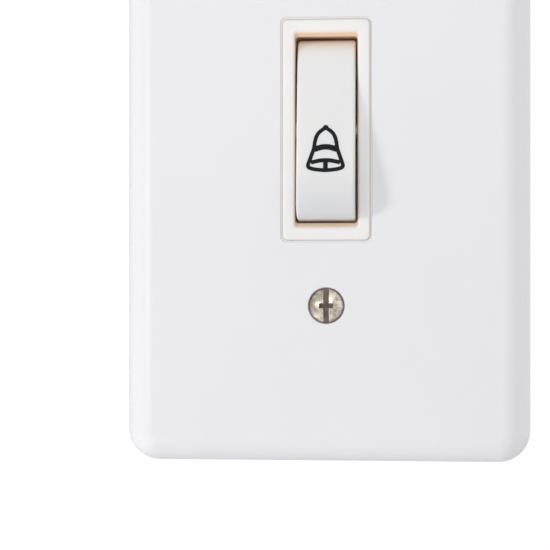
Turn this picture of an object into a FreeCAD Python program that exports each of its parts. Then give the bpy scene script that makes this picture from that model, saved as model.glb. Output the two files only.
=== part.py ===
"""Bell push: a narrow spring-return rocker in a one-gang wall plate, with its strap, housing and contacts.

Frame: +Z up, +X to the right as seen from the room, -Y towards the room. The origin is the centre of the
plate's rear rim, so the wall's surface is the plane Y = 0 and the housing reaches into the wall box on +Y.
"""
import FreeCAD, Part
import os
import re
import Sketcher

# Driving dimensions: millimetres and degrees.
SIZES = {
    # Wall plate.
    "plate_width": 69.85,
    "plate_height": 114.3,
    "plate_depth": 6.0,
    "plate_wall": 2.0,
    "plate_corner": 5.5,
    "plate_round": 5.0,
    "window_gap": 0.3,
    "window_corner": 0.9,
    "window_round": 0.35,
    "collar_wall": 1.3,
    "collar_gap": 0.4,
    # Plate screws, 6-32 oval head, and their bosses.
    "plate_screw_spacing": 60.3,
    "screw_radius": 1.7,
    "thread_gap": 0.05,
    "hole_gap": 0.2,
    "boss_radius": 4.2,
    "oval_head_radius": 3.3,
    "oval_head_rise": 0.9,
    "oval_head_cone": 1.82,
    "oval_head_gap": 0.08,
    "plate_screw_length": 12.7,
    "recess_width": 0.95,
    "recess_depth": 1.3,
    "cross_length": 3.6,
    "screw_tip": 0.6,
    # Mounting strap.
    "strap_thick": 1.3,
    "strap_set": 0.1,
    "strap_side": 6.0,
    "lug_margin": 1.1,
    "ear_margin": 10.75,
    "strap_neck_width": 15.0,
    "ear_width": 33.0,
    "ear_height": 17.0,
    "strap_corner": 2.0,
    "strap_gap": 0.2,
    "collar_depth": 1.5,
    "thread_collar": 1.0,
    # Box screws and their retainers.
    "box_screw_spacing": 83.3,
    "box_screw_length": 25.4,
    "neck_radius": 1.5,
    "neck_length": 2.4,
    "pan_head_radius": 3.2,
    "pan_head_height": 1.9,
    "slot_length": 9.0,
    "retainer_size": 9.0,
    "retainer_thick": 0.8,
    # Bezel frame with its deck.
    "bezel_rail": 1.7,
    "bezel_end_rail": 1.85,
    "bezel_proud": 0.2,
    "bezel_round": 0.4,
    "opening_round": 0.3,
    "deck_thick": 1.6,
    "lug_width": 10.0,
    "lug_reach": 5.9,
    "lug_thick": 2.6,
    # Rivets.
    "rivet_radius": 1.5,
    "rivet_head_radius": 2.2,
    "rivet_head_height": 0.7,
    "rivet_inset": 2.9,
    # Rocker and its pin.
    "rocker_width": 10.0,
    "rocker_side_gap": 0.8,
    "rocker_end_gap": 1.4,
    "rocker_length": 31.4,
    "rocker_front": 4.0,
    "rocker_skirt": 1.2,
    "rocker_face_wall": 1.5,
    "rocker_side_wall": 1.2,
    "rocker_end_round": 3.0,
    "rocker_inner_round": 1.6,
    "rocker_edge_round": 0.5,
    "barrel_radius": 2.3,
    "web_thick": 2.0,
    "pin_radius": 1.0,
    "pin_running_gap": 0.05,
    "pin_seat_gap": 0.02,
    "pin_end_gap": 0.2,
    "rest_tilt": 8.0,
    "stroke": 12.0,
    "rest_gap": 0.227,
    "stop_gap": 0.15,
    "stop_rib": 2.6,
    "foot_drop": 9.2,
    "foot_length": 5.8,
    "foot_thick": 2.4,
    "foot_width": 4.0,
    "foot_round": 1.1,
    # Contact carrier.
    "carrier_width": 6.0,
    "carrier_height": 7.0,
    "carrier_gap": 0.15,
    "carrier_touch_gap": 0.1,
    "carrier_head": 2.4,
    "carrier_shoulder": 1.9,
    "carrier_window": 3.7,
    "bridge_side_gap": 0.4,
    "stem_radius": 2.2,
    "stem_length": 4.5,
    "stem_bore_radius": 1.45,
    "stem_bore_floor": 0.2,
    "spring_boss_radius": 1.0,
    "spring_boss_height": 0.9,
    # Bridge, contacts and springs.
    "bridge_end": 1.6,
    "bridge_width": 4.0,
    "bridge_thick": 0.6,
    "bridge_rest_gap": 0.05,
    "contact_inset": 2.4,
    "contact_radius": 1.5,
    "contact_height": 0.9,
    "contact_crown": 0.15,
    "contact_shank": 0.75,
    "contact_tail": 0.2,
    "overtravel": 0.4,
    "contact_spring_radius": 1.5,
    "contact_spring_wire": 0.4,
    "contact_spring_turns": 4,
    "return_spring_radius": 2.7,
    "return_spring_wire": 0.5,
    "return_spring_turns": 6,
    "spring_seat_gap": 0.05,
    # Housing.
    "deck_side": 4.5,
    "deck_end": 1.55,
    "housing_wall": 1.6,
    "housing_floor": 1.8,
    "housing_corner": 1.5,
    "housing_round": 0.8,
    "guide_thick": 1.4,
    "guide_lead": 0.6,
    "guide_extra": 0.5,
    "post_radius": 3.1,
    "post_height": 3.6,
    "spigot_radius": 1.2,
    "spigot_gap": 0.25,
    "post_gap": 1.17,
    "seat_rib": 1.0,
    # Terminals, clamps and their screws.
    "blade_thick": 0.8,
    "blade_gap": 0.2,
    "blade_width": 4.0,
    "contact_tab_margin": 2.1,
    "contact_tab_height": 5.0,
    "screw_tab_margin": 3.6,
    "screw_tab_height": 10.0,
    "screw_tab_drop": 1.4,
    "terminal_inset": 3.4,
    "terminal_height": 8.5,
    "terminal_screw_radius": 1.5,
    "terminal_screw_length": 6.6,
    "terminal_head_radius": 2.6,
    "terminal_head_height": 1.9,
    "terminal_collar": 1.6,
    "terminal_collar_wall": 0.85,
    "clamp_width": 5.8,
    "clamp_height": 7.2,
    "clamp_thick": 0.9,
    "clamp_gap": 0.3,
}

# Places and sizes that follow from the driving dimensions.
PLACES = {
    "plate_inside": "-plate_depth + plate_wall",
    "strap_face": "-strap_thick - strap_set",
    "opening_width": "rocker_width + 2 * rocker_side_gap",
    "opening_height": "rocker_length + 2 * rocker_end_gap",
    "bezel_width": "opening_width + 2 * bezel_rail",
    "bezel_height": "opening_height + 2 * bezel_end_rail",
    "housing_width": "bezel_width + 2 * deck_side",
    "housing_height": "bezel_height + 2 * deck_end",
    "strap_middle_width": "bezel_width + 2 * strap_side",
    "strap_middle_height": "housing_height + 2 * lug_reach + 2 * lug_margin",
    "strap_length": "box_screw_spacing + 2 * ear_margin",
    "window_width": "bezel_width + 2 * window_gap",
    "window_height": "bezel_height + 2 * window_gap",
    "bezel_front": "strap_set - plate_depth - bezel_proud",
    "rivet_height": "housing_height / 2 + rivet_inset",
    "rivet_hole": "rivet_radius + thread_gap",
    "slot_width": "2 * (screw_radius + hole_gap)",
    "pivot_y": "-(rocker_skirt * cos(rest_tilt) + rocker_length / 2 * sin(rest_tilt) + rest_gap)",
    "foot_tip": "foot_length - foot_thick / 2",
    "foot_rest": "foot_tip * cos(rest_tilt) - foot_drop * sin(rest_tilt) + foot_thick / 2",
    "foot_pressed": "foot_tip * cos(pressed_tilt) + foot_drop * sin(pressed_tilt) + foot_thick / 2",
    "carrier_travel": "foot_pressed - foot_rest",
    "half_way": "rest_tilt - stroke / 2",
    "carrier_z": "-foot_drop * cos(half_way) - foot_tip * sin(half_way)",
    "carrier_front": "pivot_y + foot_rest + carrier_touch_gap",
    "carrier_window_front": "carrier_front + carrier_head",
    "carrier_window_rear": "carrier_window_front + carrier_window",
    "carrier_shoulder_y": "carrier_window_rear + carrier_shoulder",
    "stem_end": "carrier_shoulder_y + stem_length",
    "bridge_rear": "carrier_window_rear - bridge_rest_gap",
    "bridge_front": "bridge_rear - bridge_thick",
    "moving_contact": "bridge_rear + contact_height",
    "fixed_contact": "moving_contact + carrier_travel - overtravel",
    "contact_tab_front": "fixed_contact + contact_height",
    "contact_tab_rear": "contact_tab_front + blade_thick",
    "bore_floor": "carrier_shoulder_y + stem_bore_floor",
    "spigot_tip": "bore_floor + carrier_travel + spigot_gap",
    "post_top": "stem_end + carrier_travel + post_gap",
    "housing_inside": "post_top + post_height",
    "housing_rear": "housing_inside + housing_floor",
    "guide_front": "deck_thick + guide_lead",
    "guide_rear": "carrier_shoulder_y + guide_extra",
    "screw_tab_rear": "housing_inside - screw_tab_drop",
    "screw_tab_front": "screw_tab_rear - blade_thick",
    "blade_outer": "housing_width / 2 - housing_wall - blade_gap",
    "blade_inner": "blade_outer - blade_thick",
    "contact_offset": "blade_inner - contact_inset",
    "contact_tab_inner": "contact_offset - contact_tab_margin",
    "terminal_offset": "blade_inner - terminal_inset",
    "screw_tab_inner": "terminal_offset - screw_tab_margin",
    "bridge_length": "2 * (contact_offset + bridge_end)",
    "screw_tab_low": "terminal_height - screw_tab_height / 2",
    "screw_tab_high": "terminal_height + screw_tab_height / 2",
    "clamp_rear": "screw_tab_rear + clamp_thick",
    "pressed_tilt": "stroke - rest_tilt",
    "pressed_skirt": "rocker_skirt * cos(pressed_tilt) + rocker_length / 2 * sin(pressed_tilt)",
}

WORD = re.compile(r"[a-z][a-z_]+")
vector = FreeCAD.Vector

doc = FreeCAD.newDocument("BellPush")
sheet = doc.addObject("Spreadsheet::Sheet", "Sizes")
for row, (alias, number) in enumerate(SIZES.items(), start=1):
    sheet.set(f"A{row}", alias)
    sheet.set(f"B{row}", str(number))
    sheet.setAlias(f"B{row}", alias)
doc.recompute()


def bound(formula):
    """The formula with each size name as its cell and each place name written out."""
    def swap(match):
        word = match.group(0)
        if word in PLACES:
            return "(" + bound(PLACES[word]) + ")"
        return "Sizes." + word if word in SIZES else word
    return WORD.sub(swap, formula)


def value(formula):
    """The present number of a formula."""
    return float(sheet.evalExpression(bound(formula)))


def piece(label):
    """A new body with its own label."""
    body = doc.addObject("PartDesign::Body", label)
    body.Label = label
    return body


def sketch_on(body, name, role, level):
    """A sketch on one of the body's origin planes, moved along that plane's own axis to a level."""
    sketch = body.newObject("Sketcher::SketchObject", name)
    plane = next(item for item in body.Origin.OriginFeatures if item.Role == role)
    sketch.AttachmentSupport = [(plane, "")]
    sketch.MapMode = "FlatFace"
    towards = "-1 * " if role == "XZ_Plane" else ""
    sketch.setExpression("AttachmentOffset.Base.z", bound(f"{towards}({level})"))
    return sketch


def tie(sketch, kind, where, formula):
    """A dimension of the sketch, bound to a formula."""
    number = sketch.addConstraint(Sketcher.Constraint(kind, *where, value(formula)))
    sketch.setExpression(f"Constraints[{number}]", bound(formula))


def outline(body, name, role, level, corners, arcs=()):
    """A closed sketch through the corners; arcs gives, by side number, a radius formula and its turn."""
    sketch = sketch_on(body, name, role, level)
    spots = [vector(value(across), value(up), 0) for across, up in corners]
    arcs = dict(arcs)
    ends = []
    for side, start in enumerate(spots):
        finish = spots[(side + 1) % len(spots)]
        if side in arcs:
            radius, turn = value(arcs[side][0]), arcs[side][1]
            half = (finish - start) / 2
            away = vector(-half.y, half.x, 0).normalize() * (radius ** 2 - half.Length ** 2) ** 0.5
            centre = start + half + away * turn
            first, last = (start, finish) if turn > 0 else (finish, start)
            angles = [(spot - centre).getAngle(vector(1, 0, 0)) * (1 if spot.y >= centre.y else -1)
                      for spot in (first, last)]
            circle = Part.Circle(centre, vector(0, 0, 1), radius)
            sketch.addGeometry(Part.ArcOfCircle(circle, *angles))
            ends.append((1, 2) if turn > 0 else (2, 1))
        else:
            sketch.addGeometry(Part.LineSegment(start, finish))
            ends.append((1, 2))
    for side in range(len(spots)):
        after = (side + 1) % len(spots)
        sketch.addConstraint(Sketcher.Constraint("Coincident", side, ends[side][1], after, ends[after][0]))
    for side, (across, up) in enumerate(corners):
        tie(sketch, "DistanceX", (-1, 1, side, ends[side][0]), across)
        tie(sketch, "DistanceY", (-1, 1, side, ends[side][0]), up)
        if side in arcs:
            tie(sketch, "Radius", (side,), arcs[side][0])
    return sketch


def rectangle(body, name, role, level, left, right, low, high):
    """A sketch with one rectangle."""
    return outline(body, name, role, level, [(left, low), (right, low), (right, high), (left, high)])


def centred(body, name, level, width, height, across="0", up="0"):
    """A rectangle that faces along Y, about a centre."""
    return rectangle(body, name, "XZ_Plane", level, f"{across} - ({width}) / 2", f"{across} + ({width}) / 2",
                     f"{up} - ({height}) / 2", f"{up} + ({height}) / 2")


def rounded(body, name, level, width, height, radius):
    """A rectangle with round corners that faces along Y, about the Y axis."""
    side, top = f"({width}) / 2", f"({height}) / 2"
    short_side, short_top = f"{side} - ({radius})", f"{top} - ({radius})"
    corners = [(f"-({short_side})", f"-({top})"), (short_side, f"-({top})"),
               (side, f"-({short_top})"), (side, short_top),
               (short_side, top), (f"-({short_side})", top),
               (f"-({side})", short_top), (f"-({side})", f"-({short_top})")]
    return outline(body, name, "XZ_Plane", level, corners, {number: (radius, 1) for number in (1, 3, 5, 7)})


def circles(body, name, role, level, radius, centres):
    """A sketch with equal circles."""
    sketch = sketch_on(body, name, role, level)
    for number, (across, up) in enumerate(centres):
        middle = vector(value(across), value(up), 0)
        sketch.addGeometry(Part.Circle(middle, vector(0, 0, 1), value(radius)))
        tie(sketch, "DistanceX", (-1, 1, number, 3), across)
        tie(sketch, "DistanceY", (-1, 1, number, 3), up)
        tie(sketch, "Radius", (number,), radius)
    return sketch


def feature(body, kind, sketch, length, both_ways=False, turned=False):
    """A pad or pocket of the sketch; a length of None goes through all."""
    before = body.Shape.Volume if body.Tip else 0.0
    item = body.newObject(f"PartDesign::{kind}", sketch.Name + kind)
    item.Profile = sketch
    item.Midplane = both_ways
    item.Reversed = turned
    if length is None:
        item.Type = "ThroughAll"
    else:
        item.setExpression("Length", bound(length))
    sketch.Visibility = False
    doc.recompute()
    gain = item.Shape.Volume - before
    if abs(gain) < 1e-6 or (gain > 0) != (kind == "Pad"):
        raise ValueError(f"{item.Name} changed nothing")
    return item


def pad(body, sketch, length, both_ways=False):
    """Material in front of the sketch, towards -Y from a sketch that faces along Y."""
    return feature(body, "Pad", sketch, length, both_ways)


def pocket(body, sketch, length, both_ways=False, turned=False):
    """A cut behind the sketch, towards +Y from a sketch that faces along Y."""
    return feature(body, "Pocket", sketch, length, both_ways, turned)


def turned_piece(body, name, corners, arcs=()):
    """A solid of revolution about the body's Y axis, from a profile of radius and depth."""
    sketch = outline(body, name, "XY_Plane", "0", corners, arcs)
    item = body.newObject("PartDesign::Revolution", name + "Revolution")
    item.Profile = sketch
    item.ReferenceAxis = (sketch, ["V_Axis"])
    item.Angle = 360
    sketch.Visibility = False
    doc.recompute()
    return item


def countersink(body, name, cone, height):
    """A conical cut about a line along Y at a height on the Z axis."""
    before = body.Shape.Volume
    sketch = outline(body, name, "XY_Plane", height, cone)
    groove = body.newObject("PartDesign::Groove", name + "Groove")
    groove.Profile = sketch
    groove.ReferenceAxis = (sketch, ["V_Axis"])
    groove.Angle = 360
    sketch.Visibility = False
    doc.recompute()
    if groove.Shape.Volume > before - 1e-6:
        raise ValueError(f"{name} cut nothing")
    return groove


def fillet(body, name, radius, wanted):
    """Rounds the edges of the body's tip that the test picks."""
    base = body.Tip
    names = [f"Edge{number}" for number, edge in enumerate(base.Shape.Edges, start=1) if wanted(edge)]
    if not names:
        raise ValueError(f"{name} found no edge")
    item = body.newObject("PartDesign::Fillet", name)
    item.Base = (base, names)
    item.setExpression("Radius", bound(radius))
    doc.recompute()
    return item


def near(number, target):
    """Whether two lengths agree."""
    return abs(number - target) < 1e-4


def box_of(edge):
    """The edge's exact bounding box."""
    return edge.BoundBox


def along_depth(edge, width, height):
    """A straight edge along Y at the corner of a centred rectangle."""
    box = box_of(edge)
    return (box.YLength > 0.1 and box.XLength < 1e-4 and box.ZLength < 1e-4
            and near(abs(box.Center.x), width / 2) and near(abs(box.Center.z), height / 2))


def in_plane(edge, level, width, height):
    """An edge in the plane Y = level, on the outline of a centred rectangle or on its corner arcs."""
    box = box_of(edge)
    if not (near(box.YMin, level) and near(box.YMax, level)):
        return False
    middle = edge.valueAt((edge.FirstParameter + edge.LastParameter) / 2)
    straight = near(abs(middle.x), width / 2) or near(abs(middle.z), height / 2)
    corner = abs(middle.x) > width / 2 - 4 and abs(middle.z) > height / 2 - 4
    inside = abs(middle.x) < width / 2 + 1e-4 and abs(middle.z) < height / 2 + 1e-4
    return inside and (straight or corner)


def seat(item, across="0", depth="0", up="0", tilt=None):
    """Puts a piece of the device at a place measured from the strap's rear face."""
    place(item, across, f"{depth} - strap_set", up, tilt)


def place(item, across, depth, up, tilt=None):
    """Puts a sub-part at a place of the common frame, with a turn about X where it has one."""
    for axis, formula in (("x", across), ("y", depth), ("z", up)):
        item.setExpression(f"Placement.Base.{axis}", bound(formula))
    if tilt:
        item.Placement = FreeCAD.Placement(item.Placement.Base, FreeCAD.Rotation(vector(1, 0, 0), value(tilt)))
        item.setExpression("Placement.Rotation.Angle", bound(tilt))


def pair(label, item, normal):
    """The piece and its mirror copy across a plane through the origin, as one group."""
    copy = doc.addObject("Part::Mirroring", item.Name + "Copy")
    copy.Source = item
    copy.Normal = normal
    group = doc.addObject("Part::Compound", label)
    group.Label = label
    group.Links = [item, copy]
    doc.recompute()
    return group


def mirrored(label, item):
    """The piece's mirror copy across the plane X = 0."""
    copy = doc.addObject("Part::Mirroring", label)
    copy.Label = label
    copy.Source = item
    copy.Normal = vector(1, 0, 0)
    doc.recompute()
    return copy


def up_and_down(formula):
    """The two centres on the Z axis at plus and minus a height."""
    return [("0", formula), ("0", f"-({formula})")]


def wall_plate():
    """Moulded cover: a shallow tray with a bullnose edge, window, collar and two screw bosses."""
    body = piece("wall_plate")
    width, height = value("plate_width"), value("plate_height")
    pad(body, centred(body, "PlateBlock", "0", "plate_width", "plate_height"), "plate_depth")
    fillet(body, "PlateCorners", "plate_corner", lambda edge: along_depth(edge, width, height))
    front = value("-plate_depth")
    fillet(body, "PlateBullnose", "plate_round", lambda edge: in_plane(edge, front, width, height))
    inner_width, inner_height = "plate_width - 2 * plate_wall", "plate_height - 2 * plate_wall"
    pocket(body, rounded(body, "PlateHollow", "0", inner_width, inner_height, "plate_corner - plate_wall"),
           "plate_depth - plate_wall", turned=True)
    width, height, level = value(inner_width), value(inner_height), value("plate_inside")
    fillet(body, "HollowRound", "plate_round - plate_wall", lambda edge: in_plane(edge, level, width, height))
    pad(body, circles(body, "PlateBosses", "XZ_Plane", "strap_face", "boss_radius",
                      up_and_down("plate_screw_spacing / 2")), "plate_depth + strap_face - plate_wall / 2")
    pad(body, centred(body, "WindowCollar", "strap_face - collar_gap", "window_width + 2 * collar_wall",
                      "window_height + 2 * collar_wall"), "plate_depth + strap_face - collar_gap - plate_wall / 2")
    pocket(body, centred(body, "PlateWindow", "-plate_depth", "window_width", "window_height"), None)
    width, height = value("window_width"), value("window_height")
    fillet(body, "WindowCorners", "window_corner", lambda edge: along_depth(edge, width, height))
    fillet(body, "WindowEdge", "window_round", lambda edge: in_plane(edge, front, width, height))
    pocket(body, circles(body, "PlateScrewHoles", "XZ_Plane", "-plate_depth", "screw_radius + hole_gap",
                         up_and_down("plate_screw_spacing / 2")), None)
    for side in ("1", "-1"):
        seat_radius = "oval_head_radius + oval_head_gap"
        edge_z = f"{side} * plate_screw_spacing / 2"
        cone = [("0", "-plate_depth"), (seat_radius, "-plate_depth"),
                ("0", f"-plate_depth + oval_head_cone * ({seat_radius}) / (oval_head_radius - screw_radius)")]
        countersink(body, f"PlateCountersink{'Upper' if side == '1' else 'Lower'}", cone, edge_z)
    return body


def plate_screws():
    """Two oval-head screws with a slotted cross recess."""
    body = piece("PlateScrew")
    dome = "(oval_head_radius * oval_head_radius + oval_head_rise * oval_head_rise) / (2 * oval_head_rise)"
    length = "plate_screw_length - oval_head_rise"
    turned_piece(body, "PlateScrewProfile",
                 [("0", "-oval_head_rise"), ("oval_head_radius", "0"), ("screw_radius", "oval_head_cone"),
                  ("screw_radius", f"{length} - screw_tip"), ("screw_radius - screw_tip", length),
                  ("0", length)], {0: (dome, 1)})
    pocket(body, centred(body, "PlateScrewSlot", "-oval_head_rise", "recess_width", "2 * oval_head_radius"),
           "recess_depth")
    pocket(body, centred(body, "PlateScrewCross", "-oval_head_rise", "cross_length", "recess_width"),
           "recess_depth")
    place(body, "0", "-plate_depth", "plate_screw_spacing / 2")
    return pair("plate_screws", body, vector(0, 0, 1))


def mounting_strap():
    """Pressed steel yoke: middle with the bezel's window, two necks and two wide plaster ears."""
    body = piece("mounting_strap")
    ear_top = "strap_length / 2"
    ear_foot = "strap_length / 2 - ear_height"
    middle_top = "strap_middle_height / 2"
    middle, neck, ear = "strap_middle_width / 2", "strap_neck_width / 2", "ear_width / 2"
    right = [(middle, f"-({middle_top})"), (middle, middle_top), (neck, middle_top), (neck, ear_foot),
             (ear, ear_foot), (ear, ear_top)]
    left = [(f"-({across})", up) for across, up in reversed(right)]
    lower = [(f"-({across})", f"-({up})") for across, up in right[2:]]
    lower += [(across, f"-({up})") for across, up in reversed(right[2:])]
    pad(body, outline(body, "StrapBlank", "XZ_Plane", "0", right + left + lower), "strap_thick")
    fillet(body, "StrapCorners", "strap_corner", lambda edge: edge.BoundBox.YLength > 0.1)
    window_width, window_height = "bezel_width + 2 * strap_gap", "bezel_height + 2 * strap_gap"
    pocket(body, rounded(body, "StrapWindow", "-strap_thick", window_width, window_height, "window_corner"), None)
    pad(body, circles(body, "ThreadCollars", "XZ_Plane", "collar_depth", "screw_radius + thread_collar",
                      up_and_down("plate_screw_spacing / 2")), "collar_depth + strap_thick / 2")
    pocket(body, circles(body, "ThreadHoles", "XZ_Plane", "-strap_thick", "screw_radius + thread_gap",
                         up_and_down("plate_screw_spacing / 2")), None)
    pocket(body, circles(body, "StrapRivetHoles", "XZ_Plane", "-strap_thick", "rivet_hole",
                         up_and_down("rivet_height")), None)
    for name, height in (("UpperSlot", "box_screw_spacing / 2"), ("LowerSlot", "-box_screw_spacing / 2")):
        run, half = "(slot_length - slot_width) / 2", "slot_width / 2"
        corners = [(f"-({run})", f"{height} - {half}"), (run, f"{height} - {half}"),
                   (run, f"{height} + {half}"), (f"-({run})", f"{height} + {half}")]
        slot = outline(body, name, "XZ_Plane", "-strap_thick", corners, {1: (half, 1), 3: (half, 1)})
        pocket(body, slot, None)
    seat(body)
    return body


def strap_rivets():
    """Two rivets through strap, deck and housing lugs."""
    body = piece("StrapRivet")
    grip = "deck_thick + lug_thick"
    turned_piece(body, "RivetProfile",
                 [("0", "-strap_thick - rivet_head_height"), ("rivet_radius", "-strap_thick - rivet_head_height"),
                  ("rivet_head_radius", "-strap_thick"), ("rivet_radius", "-strap_thick"),
                  ("rivet_radius", grip), ("rivet_head_radius", grip),
                  ("rivet_radius", f"{grip} + rivet_head_height"), ("0", f"{grip} + rivet_head_height")])
    seat(body, up="rivet_height")
    return pair("strap_rivets", body, vector(0, 0, 1))


def box_screws():
    """Two pan-head screws that hold the strap to the wall box."""
    body = piece("BoxScrew")
    length = "box_screw_length"
    turned_piece(body, "BoxScrewProfile",
                 [("0", "-pan_head_height"), ("pan_head_radius", "-pan_head_height"), ("pan_head_radius", "0"),
                  ("neck_radius", "0"), ("neck_radius", "neck_length"), ("screw_radius", "neck_length"),
                  ("screw_radius", f"{length} - screw_tip"),
                  ("screw_radius - screw_tip", length), ("0", length)])
    head = value("-pan_head_height")
    fillet(body, "PanHeadRound", "pan_head_height / 2", lambda edge: near(edge.BoundBox.YMax, head))
    pocket(body, centred(body, "BoxScrewSlot", "-pan_head_height", "recess_width", "2 * pan_head_radius"),
           "recess_depth - thread_gap")
    seat(body, "0", "-strap_thick", "box_screw_spacing / 2")
    return pair("box_screws", body, vector(0, 0, 1))


def screw_retainers():
    """Two fibre squares that grip the box screws behind the strap."""
    body = piece("ScrewRetainer")
    pad(body, centred(body, "RetainerBlank", "retainer_thick", "retainer_size", "retainer_size"), "retainer_thick")
    pocket(body, circles(body, "RetainerHole", "XZ_Plane", "0", "neck_radius + thread_gap", [("0", "0")]), None)
    seat(body, up="box_screw_spacing / 2")
    return pair("screw_retainers", body, vector(0, 0, 1))


def bezel_frame():
    """Front moulding: the rim round the rocker, with the deck and its two lugs behind the strap."""
    body = piece("bezel_frame")
    pad(body, centred(body, "Deck", "deck_thick", "housing_width", "housing_height"), "deck_thick")
    pad(body, centred(body, "DeckLugs", "deck_thick", "lug_width", "housing_height + 2 * lug_reach"), "deck_thick")
    pad(body, rounded(body, "Rim", "deck_thick / 2", "bezel_width", "bezel_height", "window_corner"),
        "deck_thick / 2 - bezel_front")
    pocket(body, rounded(body, "RimOpening", "bezel_front", "opening_width", "opening_height",
                         "window_corner - opening_round"), "-bezel_front")
    front, deep = value("bezel_front"), value("deck_thick / 2")
    outer_width, outer_height = value("bezel_width"), value("bezel_height")
    fillet(body, "RimOuterRound", "bezel_round", lambda edge: in_plane(edge, front, outer_width, outer_height)
           and not in_plane(edge, front, value("opening_width"), value("opening_height")))
    fillet(body, "RimInnerRound", "opening_round",
           lambda edge: in_plane(edge, front, value("opening_width"), value("opening_height")))
    pad(body, rectangle(body, "PressStop", "XZ_Plane", "deck_thick / 2", "-opening_width / 2", "opening_width / 2",
                        "-opening_height / 2", "-opening_height / 2 + rocker_end_gap + stop_rib"),
        "deck_thick / 2 - (pivot_y + pressed_skirt + stop_gap)")
    pocket(body, centred(body, "CarrierHole", "-deck_thick", "carrier_width + 2 * carrier_gap",
                         "carrier_height + 2 * carrier_gap", "0", "carrier_z"), None)
    pocket(body, circles(body, "PinHoles", "YZ_Plane", "0", "pin_radius + pin_seat_gap", [("pivot_y", "0")]),
           None, both_ways=True)
    pocket(body, circles(body, "DeckRivetHoles", "XZ_Plane", "-strap_thick", "rivet_hole",
                         up_and_down("rivet_height")), None)
    seat(body)
    return body


def rocker():
    """Hollow rocker about its own pin axis, with a barrel for the pin and a foot that works the carrier."""
    body = piece("rocker")
    half, front = "rocker_length / 2", "-rocker_front"
    inside = "-rocker_front + rocker_face_wall"
    pad(body, rectangle(body, "RockerBlock", "YZ_Plane", "0", front, "rocker_skirt", f"-({half})", half),
        "rocker_width", both_ways=True)
    face, top = value(front), value(half)
    fillet(body, "RockerEnds", "rocker_end_round",
           lambda edge: near(edge.BoundBox.YMax, face) and near(abs(edge.BoundBox.Center.z), top))
    side, skirt = value("rocker_width / 2"), value("rocker_skirt")
    fillet(body, "RockerSides", "rocker_edge_round",
           lambda edge: near(abs(edge.BoundBox.Center.x), side) and edge.BoundBox.XLength < 1e-4
           and edge.BoundBox.YMin < skirt - 1e-4)
    hollow_width = "rocker_width - 2 * rocker_side_wall"
    hollow_length = "rocker_length - 2 * rocker_side_wall"
    pocket(body, centred(body, "RockerHollow", "rocker_skirt", hollow_width, hollow_length),
           f"rocker_skirt - ({inside})", turned=True)
    level, reach = value(inside), value(hollow_length) / 2
    fillet(body, "RockerHollowEnds", "rocker_inner_round",
           lambda edge: near(edge.BoundBox.YMax, level) and near(abs(edge.BoundBox.Center.z), reach))
    pad(body, rectangle(body, "PivotWeb", "YZ_Plane", "0", f"{inside} - rocker_face_wall / 2", "0",
                        "-web_thick / 2", "web_thick / 2"), hollow_width + " + rocker_side_wall", both_ways=True)
    pad(body, circles(body, "PivotBarrel", "YZ_Plane", "0", "barrel_radius", [("0", "0")]),
        "rocker_width", both_ways=True)
    pad(body, rectangle(body, "Foot", "YZ_Plane", "0", f"{inside} - rocker_face_wall / 2", "foot_length",
                        "-foot_drop - foot_thick / 2", "-foot_drop + foot_thick / 2"), "foot_width", both_ways=True)
    tip = value("foot_length")
    fillet(body, "FootTip", "foot_round",
           lambda edge: near(edge.BoundBox.YMin, tip) and edge.BoundBox.XLength > 1)
    pocket(body, circles(body, "PivotBore", "YZ_Plane", "0", "pin_radius + pin_running_gap", [("0", "0")]),
           None, both_ways=True)
    seat(body, "0", "pivot_y", "0", "-rest_tilt")
    return body


def rocker_pin():
    """Steel pin across the rim, its ends just inside the rim's outer faces."""
    body = piece("rocker_pin")
    pad(body, circles(body, "PinCircle", "YZ_Plane", "0", "pin_radius", [("pivot_y", "0")]),
        "bezel_width - 2 * pin_end_gap", both_ways=True)
    seat(body)
    return body


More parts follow.
